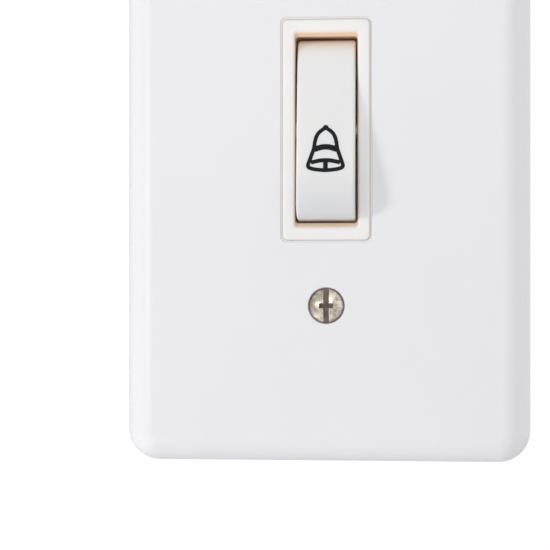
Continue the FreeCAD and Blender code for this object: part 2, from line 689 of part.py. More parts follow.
def switch_housing():
    """Rear moulding: a box open to the deck, with lugs, carrier guides, spring post and terminal windows."""
    body = piece("switch_housing")
    pad(body, centred(body, "HousingBlock", "housing_rear", "housing_width", "housing_height"),
        "housing_rear - deck_thick")
    width, height = value("housing_width"), value("housing_height")
    fillet(body, "HousingCorners", "housing_corner", lambda edge: along_depth(edge, width, height))
    rear = value("housing_rear")
    fillet(body, "HousingRound", "housing_round", lambda edge: in_plane(edge, rear, width, height))
    pad(body, centred(body, "HousingLugs", "deck_thick + lug_thick", "lug_width", "housing_height + 2 * lug_reach"),
        "lug_thick")
    inner_width = "housing_width - 2 * housing_wall"
    pocket(body, centred(body, "HousingHollow", "deck_thick", inner_width, "housing_height - 2 * housing_wall"),
           "housing_inside - deck_thick")
    for name, side in (("UpperGuide", "1"), ("LowerGuide", "-1")):
        middle = f"carrier_z + {side} * (carrier_height / 2 + carrier_gap + guide_thick / 2)"
        pad(body, centred(body, name, "guide_rear", f"{inner_width} + housing_wall", "guide_thick", "0", middle),
            "guide_rear - guide_front")
    pad(body, circles(body, "SpringPost", "XZ_Plane", "housing_inside + housing_floor / 2", "post_radius",
                      [("0", "carrier_z")]), "post_height + housing_floor / 2")
    pad(body, circles(body, "SpringSpigot", "XZ_Plane", "post_top + spigot_radius", "spigot_radius",
                      [("0", "carrier_z")]), "post_top + spigot_radius - (spigot_tip)")
    for name, edge_z, side in (("UpperSeat", "screw_tab_high", "-1"), ("LowerSeat", "screw_tab_low", "1")):
        pad(body, centred(body, name, "housing_inside + housing_floor / 2", f"{inner_width} + housing_wall",
                          "seat_rib", "0", f"{edge_z} + {side} * seat_rib / 2"), "screw_tab_drop + housing_floor / 2")
    for name, side in (("RightWindow", "1"), ("LeftWindow", "-1")):
        pocket(body, centred(body, name, "housing_inside - screw_tab_drop", "clamp_width + 2 * clamp_gap",
                             "clamp_height + 2 * clamp_gap", f"{side} * terminal_offset", "terminal_height"), None)
    pocket(body, circles(body, "HousingRivetHoles", "XZ_Plane", "deck_thick", "rivet_hole",
                         up_and_down("rivet_height")), None)
    seat(body)
    return body


def contact_carrier():
    """Sliding plunger: head, window for the bridge and its spring, and a bored stem behind."""
    body = piece("contact_carrier")
    pad(body, centred(body, "CarrierBlock", "carrier_shoulder_y", "carrier_width", "carrier_height", "0",
                      "carrier_z"), "carrier_shoulder_y - (carrier_front)")
    pocket(body, rectangle(body, "CarrierWindow", "YZ_Plane", "0", "carrier_window_front", "carrier_window_rear",
                           "carrier_z - bridge_width / 2 - bridge_side_gap",
                           "carrier_z + bridge_width / 2 + bridge_side_gap"), None, both_ways=True)
    pad(body, circles(body, "SpringBoss", "XZ_Plane", "carrier_window_front + spring_boss_height",
                      "spring_boss_radius", [("0", "carrier_z")]), "spring_boss_height + carrier_head / 2")
    pad(body, circles(body, "Stem", "XZ_Plane", "stem_end", "stem_radius", [("0", "carrier_z")]),
        "stem_length + carrier_shoulder / 2")
    pocket(body, circles(body, "StemBore", "XZ_Plane", "stem_end", "stem_bore_radius", [("0", "carrier_z")]),
           "stem_length - stem_bore_floor", turned=True)
    seat(body)
    return body


def contact_bridge():
    """Brass strip that joins the two fixed contacts."""
    body = piece("contact_bridge")
    pad(body, centred(body, "BridgeBlank", "bridge_rear", "bridge_length", "bridge_width", "0", "carrier_z"),
        "bridge_thick")
    fillet(body, "BridgeCorners", "bridge_width / 4", lambda edge: edge.BoundBox.YLength > 0.1)
    pocket(body, circles(body, "BridgeHoles", "XZ_Plane", "bridge_front", "contact_shank + thread_gap",
                         [("contact_offset", "carrier_z"), ("-contact_offset", "carrier_z")]), None)
    seat(body)
    return body


def contact_button(name, plate_thick):
    """A contact rivet whose head seats at depth 0 and faces +Y, riveted over at the far side."""
    body = piece(name)
    head, low = "contact_height", "contact_height - contact_crown"
    turned_piece(body, name + "Profile",
                 [("0", f"-{plate_thick} - contact_tail"),
                  ("contact_shank", f"-{plate_thick} - contact_tail"),
                  ("contact_shank + contact_tail", f"-{plate_thick}"),
                  ("contact_shank", f"-{plate_thick}"), ("contact_shank", "0"), ("contact_radius", "0"),
                  ("contact_radius", low), ("contact_radius - 2 * contact_crown", head), ("0", head)])
    return body


def bridge_contacts():
    """Two silver contacts on the bridge, facing the terminals."""
    body = contact_button("BridgeContact", "bridge_thick")
    seat(body, "contact_offset", "bridge_rear", "carrier_z")
    return pair("bridge_contacts", body, vector(1, 0, 0))


def fixed_contacts():
    """Two silver contacts on the terminals, facing the bridge."""
    body = contact_button("FixedContact", "blade_thick")
    seat(body, "contact_offset", "contact_tab_front", "carrier_z")
    body.Placement = FreeCAD.Placement(body.Placement.Base, FreeCAD.Rotation(vector(0, 0, 1), 180))
    return pair("fixed_contacts", body, vector(1, 0, 0))


def terminal_right():
    """Brass blade along the housing's side wall, with a contact tab and a threaded screw tab bent inwards."""
    body = piece("terminal_right")
    low = "carrier_z - contact_tab_height / 2"
    arm = "contact_tab_front + blade_width"
    corners = [("contact_tab_front", low), (arm, low), (arm, "screw_tab_low - blade_width"),
               ("screw_tab_rear", "screw_tab_low"), ("screw_tab_rear", "screw_tab_high"),
               ("screw_tab_rear - blade_width", "screw_tab_high"), ("screw_tab_rear - blade_width", "screw_tab_low"),
               ("contact_tab_front", "screw_tab_low - blade_width")]
    pad(body, outline(body, "Blade", "YZ_Plane", "blade_inner", corners), "blade_thick")
    bend = "blade_outer - blade_thick / 2"
    pad(body, rectangle(body, "ContactTab", "XZ_Plane", "contact_tab_rear", "contact_tab_inner", bend, low,
                        f"{low} + contact_tab_height"), "blade_thick")
    pad(body, rectangle(body, "ScrewTab", "XZ_Plane", "screw_tab_rear", "screw_tab_inner", bend, "screw_tab_low",
                        "screw_tab_high"), "blade_thick")
    centre = [("terminal_offset", "terminal_height")]
    pad(body, circles(body, "TerminalCollar", "XZ_Plane", "screw_tab_front + blade_thick / 2",
                      "terminal_screw_radius + terminal_collar_wall", centre), "terminal_collar + blade_thick / 2")
    pocket(body, circles(body, "TerminalThread", "XZ_Plane", "screw_tab_front - terminal_collar",
                         "terminal_screw_radius + thread_gap", centre), None)
    pocket(body, circles(body, "ContactTabHole", "XZ_Plane", "contact_tab_front",
                         "contact_shank + thread_gap", [("contact_offset", "carrier_z")]), None)
    seat(body)
    return body


def terminal_screws():
    """Two cheese-head clamp screws, entered from the back."""
    body = piece("TerminalScrew")
    length = "terminal_screw_length"
    turned_piece(body, "TerminalScrewProfile",
                 [("0", f"-{length}"), ("terminal_screw_radius - screw_tip", f"-{length}"),
                  ("terminal_screw_radius", f"-{length} + screw_tip"), ("terminal_screw_radius", "0"),
                  ("terminal_head_radius", "0"), ("terminal_head_radius", "terminal_head_height"),
                  ("0", "terminal_head_height")])
    top = value("terminal_head_height")
    fillet(body, "CheeseHeadRound", "screw_tip / 2",
           lambda edge: near(edge.BoundBox.YMin, top) and near(edge.BoundBox.XLength, 2 * value("terminal_head_radius")))
    pocket(body, centred(body, "TerminalSlot", "terminal_head_height", "recess_width", "2 * terminal_head_radius"),
           "terminal_head_height / 2", turned=True)
    seat(body, "terminal_offset", "clamp_rear", "terminal_height")
    return pair("terminal_screws", body, vector(1, 0, 0))


def clamp_plates():
    """Two wire clamps between the screw heads and the screw tabs."""
    body = piece("ClampPlate")
    pad(body, centred(body, "ClampBlank", "clamp_thick", "clamp_width", "clamp_height"), "clamp_thick")
    fillet(body, "ClampCorners", "clamp_thick", lambda edge: edge.BoundBox.YLength > 0.1)
    pocket(body, circles(body, "ClampHole", "XZ_Plane", "0", "terminal_screw_radius + hole_gap", [("0", "0")]), None)
    seat(body, "terminal_offset", "screw_tab_rear", "terminal_height")
    return pair("clamp_plates", body, vector(1, 0, 0))


def coil_spring(label, radius, wire, turns, start, end):
    """A round-wire compression spring along Y, from one seat to the other."""
    helix = doc.addObject("Part::Helix", label.title().replace("_", "") + "Line")
    run = f"{end} - ({start}) - {wire} - 2 * spring_seat_gap"
    helix.setExpression("Radius", bound(radius))
    helix.setExpression("Height", bound(run))
    helix.setExpression("Pitch", bound(f"({run}) / {turns}"))
    helix.SegmentLength = 1
    section = doc.addObject("Part::Circle", label.title().replace("_", "") + "Wire")
    section.setExpression("Radius", bound(f"{wire} / 2"))
    section.setExpression("Placement.Base.x", bound(radius))
    section.Placement = FreeCAD.Placement(section.Placement.Base, FreeCAD.Rotation(vector(1, 0, 0), 90))
    doc.recompute()
    spring = doc.addObject("Part::Sweep", label)
    spring.Label = label
    spring.Sections = [section]
    spring.Spine = (helix, [f"Edge{number + 1}" for number in range(len(helix.Shape.Edges))])
    spring.Solid = True
    spring.Frenet = True
    spring.Placement = FreeCAD.Placement(vector(0, 0, 0), FreeCAD.Rotation(vector(1, 0, 0), -90))
    spring.setExpression("Placement.Base.y", bound(f"{start} + {wire} / 2 + spring_seat_gap - strap_set"))
    spring.setExpression("Placement.Base.z", bound("carrier_z"))
    doc.recompute()
    return spring


def main():
    """Builds every sub-part, checks the document and writes one STEP file for each."""
    right = terminal_right()
    nodes = [
        wall_plate(), plate_screws(), mounting_strap(), strap_rivets(), box_screws(), screw_retainers(),
        bezel_frame(), rocker(), rocker_pin(), switch_housing(), contact_carrier(), contact_bridge(),
        bridge_contacts(),
        coil_spring("contact_spring", "contact_spring_radius", "contact_spring_wire", "contact_spring_turns",
                    "carrier_window_front", "bridge_front"),
        coil_spring("return_spring", "return_spring_radius", "return_spring_wire", "return_spring_turns",
                    "carrier_shoulder_y", "post_top"),
        right, mirrored("terminal_left", right), fixed_contacts(), terminal_screws(), clamp_plates(),
    ]
    doc.recompute()
    for item in doc.Objects:
        if {"Invalid", "Error"} & set(item.State):
            raise ValueError(f"{item.Name}: {item.State}")
    for node in nodes:
        if node.Shape.isNull() or not node.Shape.isValid() or not node.Shape.Solids:
            raise ValueError(f"{node.Label} has no valid shape")
    os.makedirs("parts", exist_ok=True)
    for node in nodes:
        node.Shape.exportStep(f"parts/{node.Label}.step")
        print(node.Label, len(node.Shape.Solids), round(node.Shape.Volume, 3))


main()
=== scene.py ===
"""A doorbell push for a one-gang wall box: cover plate, bezel, rocker, strap, housing and working parts."""

import logging
import math
from abc import ABC, abstractmethod
from collections.abc import Callable, Mapping, Sequence
from dataclasses import dataclass
from enum import Enum
from typing import Any

import bmesh
import bpy
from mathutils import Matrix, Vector


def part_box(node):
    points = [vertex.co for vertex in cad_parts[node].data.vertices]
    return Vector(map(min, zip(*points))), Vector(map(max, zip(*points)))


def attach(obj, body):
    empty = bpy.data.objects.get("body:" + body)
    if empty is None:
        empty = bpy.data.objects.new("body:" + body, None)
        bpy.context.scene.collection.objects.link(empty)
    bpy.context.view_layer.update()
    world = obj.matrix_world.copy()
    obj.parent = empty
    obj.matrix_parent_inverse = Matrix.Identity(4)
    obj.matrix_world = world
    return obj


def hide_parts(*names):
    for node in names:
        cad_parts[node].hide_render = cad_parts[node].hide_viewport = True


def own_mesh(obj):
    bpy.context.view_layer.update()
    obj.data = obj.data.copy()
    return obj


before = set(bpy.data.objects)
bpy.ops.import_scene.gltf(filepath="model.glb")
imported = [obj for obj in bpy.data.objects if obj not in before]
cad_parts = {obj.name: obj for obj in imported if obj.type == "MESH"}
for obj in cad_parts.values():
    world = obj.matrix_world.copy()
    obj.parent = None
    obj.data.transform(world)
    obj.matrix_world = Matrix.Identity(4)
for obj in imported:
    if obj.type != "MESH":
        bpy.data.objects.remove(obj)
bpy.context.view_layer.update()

LOG = logging.getLogger("bell_push")

Point = tuple[float, float, float]
Pair = tuple[float, float]
Profile = Sequence[Pair]
EdgeTest = Callable[[Vector, Vector], bool]
FaceTest = Callable[[Vector, Vector], bool]

# Metres in a millimetre. All other lengths are in millimetres.
MM = 0.001
# How close two coordinates are that count as one, and two points that are merged.
NEAR = 0.01
DOUBLES = 0.0005
# From well before to well behind the strap or the deck, and from one side of the rocker to the other.
THROUGH: Pair = (-3.0, 3.0)
SIDEWAYS: Pair = (-9.0, 9.0)
# Faces that meet at less than this many degrees are shaded as one.
SMOOTH_BELOW = 32.0
# Depth of a finish's relief.
RELIEF = 0.02


class Axis(Enum):
    """The direction that a round piece lies along, as the turn from the Z axis."""

    X = (0.0, math.pi / 2, 0.0)
    Y = (-math.pi / 2, 0.0, 0.0)


class Skin(Enum):
    """How a mould's wall leaves a plastic: roughness, bump strength and grain in millimetres."""

    # Real satin and spark-eroded grain is finer, too fine to show, so both are drawn coarser.
    POLISHED = (0.20, 0.05, 0.9)
    SATIN = (0.38, 0.12, 0.35)
    SPARKED = (0.56, 0.35, 0.28)


def linear(code: str) -> tuple[float, float, float, float]:
    """The linear colour of an sRGB hex code.

    Args:
        code: six hex digits after a hash sign.

    Returns:
        Red, green, blue and a full alpha.
    """
    shares = [int(code[i:i + 2], 16) / 255 for i in (1, 3, 5)]
    red, green, blue = (s / 12.92 if s <= 0.04045 else ((s + 0.055) / 1.055) ** 2.4 for s in shares)
    return red, green, blue, 1.0


def per_mm(size: float) -> float:
    """The texture scale whose pattern repeats about every size millimetres."""
    return 1 / (size * MM)


def feed(tree: bpy.types.NodeTree, node: bpy.types.Node,
         links: Mapping[str | int, bpy.types.NodeSocket]) -> None:
    """Links an output to each of a node's named or numbered sockets."""
    for name, source in links.items():
        tree.links.new(source, node.inputs[name])


def add_node(tree: bpy.types.NodeTree, kind: str, settings: Mapping[str | int, Any] | None = None,
             links: Mapping[str | int, bpy.types.NodeSocket] | None = None) -> bpy.types.Node:
    """Adds a node to a material.

    Args:
        tree: the material's nodes.
        kind: the node's Blender type.
        settings: property values, and socket values by socket name or number.
        links: the output that feeds each input socket.

    Returns:
        The new node.
    """
    node = tree.nodes.new(kind)
    for name, value in (settings or {}).items():
        if isinstance(name, int) or name in node.inputs:
            node.inputs[name].default_value = value
        else:
            setattr(node, name, value)
    feed(tree, node, links or {})
    return node


def faded(tree: bpy.types.NodeTree, place: bpy.types.NodeSocket, colour: bpy.types.NodeSocket, tint: str,
          axis: str, reach: Pair, easing: str = "LINEAR") -> bpy.types.NodeSocket:
    """Turns a colour into a tint along one axis.

    Args:
        tree: the material's nodes.
        place: the piece's Object coordinates.
        colour: the colour to start from.
        tint: the tint's sRGB hex code.
        axis: the letter of the axis.
        reach: where the tint starts and where it is full.
        easing: how the one passes into the other, in Blender's word.

    Returns:
        The new colour.
    """
    way = add_node(tree, "ShaderNodeSeparateXYZ", links={0: place}).outputs[axis]
    share = add_node(tree, "ShaderNodeMapRange", {"interpolation_type": easing, "From Min": reach[0] * MM,
                                                  "From Max": reach[1] * MM}, {"Value": way})
    return add_node(tree, "ShaderNodeMix", {"data_type": "RGBA", 7: linear(tint)},
                    {0: share.outputs["Result"], 6: colour}).outputs[2]


# ---------------------------------------------------------------- finishes


@dataclass(frozen=True)
class Finish(ABC):
    """A named surface finish, made as a material the first time that a piece wears it."""

    name: str

    def material(self) -> bpy.types.Material:
        """Finds the finish's material, or makes it.

        Returns:
            The material.
        """
        made = bpy.data.materials.get(self.name)
        if made is None:
            made = bpy.data.materials.new(self.name)
            made.use_nodes = True
            self.wire(made.node_tree, made.node_tree.nodes["Principled BSDF"])
        return made

    @abstractmethod
    def wire(self, tree: bpy.types.NodeTree, shader: bpy.types.Node) -> None:
        """Sets the shader and adds the nodes behind it.

        Args:
            tree: the material's nodes.
            shader: its Principled shader.
        """


@dataclass(frozen=True)
class MouldedPlastic(Finish):
    """Injection-moulded plastic: faint flow clouds in the colour, and a skin that copies the mould's wall."""

    colour: str
    cloud: str
    skin: Skin
    # The inner tint is a painted warm shade on the walls of the gaps; the plain colour comes back deeper in.
    inner: str | None = None
    inner_from: float = 0.0
    inner_to: float = 1.0
    shade_end_from: float = -1.8
    shade_end_to: float = -0.8
    cloud_size: float = 14.0
    index: float = 1.5
    glow: float = 0.0
    # The tint along Z is a painted shade, darker towards one end.
    height_shade: str | None = None
    height_shade_from: float = 0.0
    height_shade_to: float = 1.0
    glow_reach: Point = (2.0, 1.2, 0.8)
    gloss_spread: Pair = (0.04, 0.05)
    gloss_size: float = 5.0

    def wire(self, tree: bpy.types.NodeTree, shader: bpy.types.Node) -> None:
        """Clouded colour, with painted warm shade on the inner walls and painted shade along Z where asked, and
        the mould's gloss and grain.

        Args:
            tree: the material's nodes.
            shader: its Principled shader.
        """
        roughness, strength, grain = self.skin.value
        place = add_node(tree, "ShaderNodeTexCoord").outputs["Object"]
        clouds = add_node(tree, "ShaderNodeTexNoise", {"Scale": per_mm(self.cloud_size), "Detail": 4.0},
                          {"Vector": place})
        colour = add_node(tree, "ShaderNodeMix", {"data_type": "RGBA", 6: linear(self.colour),
                                                  7: linear(self.cloud)}, {0: clouds.outputs["Fac"]}).outputs[2]
        # Painted warm shade on the inner walls, the plain colour again deeper in, then painted shade along Z.
        for tint, axis, start, end in ((self.inner, "Y", self.inner_from, self.inner_to),
                                       (self.inner and self.colour, "Y", self.shade_end_from, self.shade_end_to),
                                       (self.height_shade, "Z", self.height_shade_from, self.height_shade_to)):
            if tint:
                colour = faded(tree, place, colour, tint, axis, (start, end), "SMOOTHSTEP")
        sheen = add_node(tree, "ShaderNodeTexNoise", {"Scale": per_mm(self.gloss_size), "Detail": 2.0},
                         {"Vector": place})
        gloss = add_node(tree, "ShaderNodeMapRange", {"To Min": roughness - self.gloss_spread[0],
                                                      "To Max": roughness + self.gloss_spread[1]},
                         {"Value": sheen.outputs["Fac"]})
        peel = add_node(tree, "ShaderNodeTexNoise", {"Scale": per_mm(grain), "Detail": 3.0, "Roughness": 0.6},
                        {"Vector": place})
        bump = add_node(tree, "ShaderNodeBump", {"Strength": strength, "Distance": RELIEF * MM},
                        {"Height": peel.outputs["Fac"]})
        shader.inputs["IOR"].default_value = self.index
        shader.inputs["Subsurface Weight"].default_value = self.glow
        shader.inputs["Subsurface Radius"].default_value = self.glow_reach
        shader.inputs["Subsurface Scale"].default_value = MM
        feed(tree, shader, {"Base Color": colour, "Roughness": gloss.outputs["Result"],
                            "Normal": bump.outputs["Normal"]})


@dataclass(frozen=True)
class WorkedMetal(Finish):
    """Bare or plated metal: tarnish clouds, fine tool or rolling marks, and painted shade deeper in where asked.
    """

    bright: str
    dull: str
    roughness: float
    cloud_size: float
    mark_size: float
    marks: float
    stretch: Point = (1.0, 1.0, 1.0)
    # The tint along Y is a painted shade, darkest deeper in; the dull colour comes back further back still.
    depth_shade: str | None = None
    depth_shade_from: float = 0.0
    depth_shade_to: float = 1.0
    shade_end_from: float = -5.3
    shade_end_to: float = -4.9
    gloss_spread: Pair = (0.08, 0.12)

    def wire(self, tree: bpy.types.NodeTree, shader: bpy.types.Node) -> None:
        """Clouded metal colour, with stretched marks in its gloss and relief.

        Args:
            tree: the material's nodes.
            shader: its Principled shader.
        """
        place = add_node(tree, "ShaderNodeTexCoord").outputs["Object"]
        clouds = add_node(tree, "ShaderNodeTexNoise", {"Scale": per_mm(self.cloud_size), "Detail": 5.0,
                                                       "Roughness": 0.62}, {"Vector": place})
        spread = add_node(tree, "ShaderNodeMapRange", {"From Min": 0.38, "From Max": 0.66},
                          {"Value": clouds.outputs["Fac"]})
        colour = add_node(tree, "ShaderNodeMix", {"data_type": "RGBA", 6: linear(self.bright),
                                                  7: linear(self.dull)},
                          {0: spread.outputs["Result"]}).outputs[2]
        # Painted shade deeper in along Y, then the plain dull colour again.
        for tint, start, end in ((self.depth_shade, self.depth_shade_from, self.depth_shade_to),
                                 (self.depth_shade and self.dull, self.shade_end_from, self.shade_end_to)):
            if tint:
                colour = faded(tree, place, colour, tint, "Y", (start, end))
        drawn = add_node(tree, "ShaderNodeMapping", {"Scale": self.stretch}, {"Vector": place})
        marks = add_node(tree, "ShaderNodeTexNoise", {"Scale": per_mm(self.mark_size), "Detail": 4.0},
                         {"Vector": drawn.outputs["Vector"]})
        gloss = add_node(tree, "ShaderNodeMapRange", {"To Min": self.roughness - self.gloss_spread[0],
                                                      "To Max": self.roughness + self.gloss_spread[1]},
                         {"Value": marks.outputs["Fac"]})
        bump = add_node(tree, "ShaderNodeBump", {"Strength": self.marks, "Distance": RELIEF * MM},
                        {"Height": marks.outputs["Fac"]})
        shader.inputs["Metallic"].default_value = 1.0
        feed(tree, shader, {"Base Color": colour, "Roughness": gloss.outputs["Result"],
                            "Normal": bump.outputs["Normal"]})


@dataclass(frozen=True)
class GalvanisedSheet(Finish):
    """Hot-dip zinc on steel sheet: angular crystals, each a little lighter or duller than the next."""

    bright: str
    dull: str
    crystal: float = 3.2
    grain: float = 0.25

    def wire(self, tree: bpy.types.NodeTree, shader: bpy.types.Node) -> None:
        """Crystals by cells, a fine grain in each and rolled relief.

        Args:
            tree: the material's nodes.
            shader: its Principled shader.
        """
        place = add_node(tree, "ShaderNodeTexCoord").outputs["Object"]
        cells = add_node(tree, "ShaderNodeTexVoronoi", {"Scale": per_mm(self.crystal)}, {"Vector": place})
        tone = add_node(tree, "ShaderNodeSeparateColor",
                        links={"Color": cells.outputs["Color"]}).outputs["Red"]
        colour = add_node(tree, "ShaderNodeMix", {"data_type": "RGBA", 6: linear(self.bright),
                                                  7: linear(self.dull)}, {0: tone})
        gloss = add_node(tree, "ShaderNodeMapRange", {"To Min": 0.30, "To Max": 0.52}, {"Value": tone})
        grain = add_node(tree, "ShaderNodeTexNoise", {"Scale": per_mm(self.grain), "Detail": 3.0},
                         {"Vector": place})
        bump = add_node(tree, "ShaderNodeBump", {"Strength": 0.16, "Distance": RELIEF * MM},
                        {"Height": grain.outputs["Fac"]})
        shader.inputs["Metallic"].default_value = 1.0
        feed(tree, shader, {"Base Color": colour.outputs[2], "Roughness": gloss.outputs["Result"],
                            "Normal": bump.outputs["Normal"]})


@dataclass(frozen=True)
class FibreBoard(Finish):
    """Vulcanised fibre: matted paper fibres in a horn-like sheet, dull on its faces."""

    colour: str
    fibre: str
    strand: float = 0.22

    def wire(self, tree: bpy.types.NodeTree, shader: bpy.types.Node) -> None:
        """Two crossed sets of fibres over the sheet's colour.

        Args:
            tree: the material's nodes.
            shader: its Principled shader.
        """
        place = add_node(tree, "ShaderNodeTexCoord").outputs["Object"]
        along = add_node(tree, "ShaderNodeMapping", {"Scale": (1.0, 1.0, 0.12)}, {"Vector": place})
        across = add_node(tree, "ShaderNodeMapping", {"Scale": (0.12, 1.0, 1.0)}, {"Vector": place})
        strands = [add_node(tree, "ShaderNodeTexNoise", {"Scale": per_mm(self.strand), "Detail": 3.0},
                            {"Vector": lay.outputs["Vector"]}) for lay in (along, across)]
        mat = add_node(tree, "ShaderNodeMath", {"operation": "MAXIMUM"},
                       {0: strands[0].outputs["Fac"], 1: strands[1].outputs["Fac"]}).outputs["Value"]
        share = add_node(tree, "ShaderNodeMapRange", {"From Min": 0.5, "From Max": 0.72}, {"Value": mat})
        colour = add_node(tree, "ShaderNodeMix", {"data_type": "RGBA", 6: linear(self.colour),
                                                  7: linear(self.fibre)}, {0: share.outputs["Result"]})
        bump = add_node(tree, "ShaderNodeBump", {"Strength": 0.3, "Distance": 0.03 * MM}, {"Height": mat})
        shader.inputs["Roughness"].default_value = 0.68
        feed(tree, shader, {"Base Color": colour.outputs[2], "Normal": bump.outputs["Normal"]})


@dataclass(frozen=True)
class PadInk(Finish):
    """Pad-printed ink: a thin satin film, a touch thinner in tiny specks."""

    colour: str
    thin: str
    speck: float = 0.18

    def wire(self, tree: bpy.types.NodeTree, shader: bpy.types.Node) -> None:
        """Dense ink with fine specks where the pad left less of it.

        Args:
            tree: the material's nodes.
            shader: its Principled shader.
        """
        place = add_node(tree, "ShaderNodeTexCoord").outputs["Object"]
        specks = add_node(tree, "ShaderNodeTexNoise", {"Scale": per_mm(self.speck), "Detail": 2.0},
                          {"Vector": place})
        thin = add_node(tree, "ShaderNodeMapRange", {"From Min": 0.55, "From Max": 0.75},
                        {"Value": specks.outputs["Fac"]})
        colour = add_node(tree, "ShaderNodeMix", {"data_type": "RGBA", 6: linear(self.colour),
                                                  7: linear(self.thin)}, {0: thin.outputs["Result"]})
        gloss = add_node(tree, "ShaderNodeMapRange", {"To Min": 0.38, "To Max": 0.55},
                         {"Value": specks.outputs["Fac"]})
        shader.inputs["Specular IOR Level"].default_value = 0.2
        feed(tree, shader, {"Base Color": colour.outputs[2], "Roughness": gloss.outputs["Result"]})


# Gloss white urea moulding: hard, cool white and even, from a polished mould.
WHITE_PLATE = MouldedPlastic("urea_plate_polished_mould", "#E7E7EA", "#E4E4E7", Skin.POLISHED)
# White ABS of the bezel: a little warmer, with a painted warm shade on the walls inside its opening.
WHITE_BEZEL = MouldedPlastic("abs_bezel_polished_mould", "#EFECEB", "#ECE9E8", Skin.POLISHED,
                             inner="#EBC9AC", inner_from=-6.2, inner_to=-5.8, glow=0.4)
# White ABS of the rocker: neutral gloss, with painted shade greying it towards its lower end and a painted warm
# shade down its flanks.
WHITE_ROCKER = MouldedPlastic("abs_rocker_polished_mould", "#E7E6E6", "#E4E3E3", Skin.POLISHED,
                              inner="#F3DCC6", inner_from=-6.2, inner_to=-3.6, glow=0.4,
                              height_shade="#D7D8DA", height_shade_from=-5.0, height_shade_to=-13.5)
# Mineral-filled nylon of the housing: grey, matt and slightly grainy from a spark-eroded mould.
GREY_NYLON = MouldedPlastic("filled_nylon_sparked_mould", "#6E7072", "#646668", Skin.SPARKED, cloud_size=6.0)
# Acetal of the carrier: slippery natural white with a satin skin.
ACETAL = MouldedPlastic("acetal_satin_mould", "#E2DFD3", "#D8D4C6", Skin.SATIN, cloud_size=3.0, index=1.48)
# Nickel plate over a cold-headed screw: warm, grey where it has tarnished, with painted shade darkening its recess
# and the edge of its head.
NICKEL = WorkedMetal("nickel_plated_steel_headed", "#F0E6D8", "#A79A88", 0.20, 0.9, 0.12, 0.10,
                     depth_shade="#3A332A", depth_shade_from=-6.26, depth_shade_to=-6.02)
# Bright zinc over a machine screw: cool and thinly clouded.
ZINC_SCREW = WorkedMetal("bright_zinc_steel_rolled", "#C3C8CC", "#8F969C", 0.32, 1.6, 0.16, 0.12)
# Rivets of soft steel, upset cold: plain grey with press marks.
RIVET_STEEL = WorkedMetal("soft_steel_upset", "#A9A7A2", "#7D7A75", 0.36, 1.2, 0.14, 0.14)
# Ground pin steel, with grinding marks round it.
PIN_STEEL = WorkedMetal("pin_steel_ground", "#B9BABB", "#94969A", 0.24, 2.0, 0.10, 0.10, (6.0, 1.0, 1.0))
# Oil-tempered spring wire: dark, with drawn streaks.
SPRING_WIRE = WorkedMetal("spring_wire_drawn", "#8B8F94", "#5C6066", 0.30, 0.8, 0.08, 0.10)
# Rolled cartridge brass, tarnished in patches.
BRASS = WorkedMetal("cartridge_brass_rolled", "#D8B45E", "#A67F3A", 0.28, 2.2, 0.30, 0.10, (1.0, 1.0, 0.1))
# Coined silver contacts, greyed by use.
SILVER = WorkedMetal("coined_silver", "#DEDCD6", "#A8A49A", 0.30, 0.7, 0.10, 0.12)
# Pressed clamp plates, with yellow passivation on the zinc.
CLAMP_STEEL = WorkedMetal("passivated_zinc_pressed", "#C7B67E", "#9A8A62", 0.34, 1.4, 0.20, 0.14)
# Terminal screws, headed and plated as the box screws are, a little duller.
TERMINAL_STEEL = WorkedMetal("zinc_steel_headed", "#B7B6AE", "#86867F", 0.34, 1.2, 0.14, 0.14)
# Hot-dip galvanised strap: grey with a cool cast.
GALVANISED = GalvanisedSheet("galvanised_sheet_pressed", "#B9BDBF", "#8D9296")
# Grey fibre squares.
FIBRE = FibreBoard("vulcanised_fibre_die_cut", "#6B5348", "#8C7566")
# Matt paint of the studio floor, even and pale.
FLOOR_PAINT = MouldedPlastic("matt_painted_floor", "#F2F2F2", "#EFEFEF", Skin.SPARKED, cloud_size=120.0)
# Black pad print of the bell.
INK = PadInk("black_ink_pad_printed", "#0E0E10", "#232326")


# ---------------------------------------------------------------- the bench


def span(node: str) -> tuple[Vector, Vector]:
    """Lowest and highest corner of a CAD node, in millimetres."""
    low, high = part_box(node)
    return low / MM, high / MM


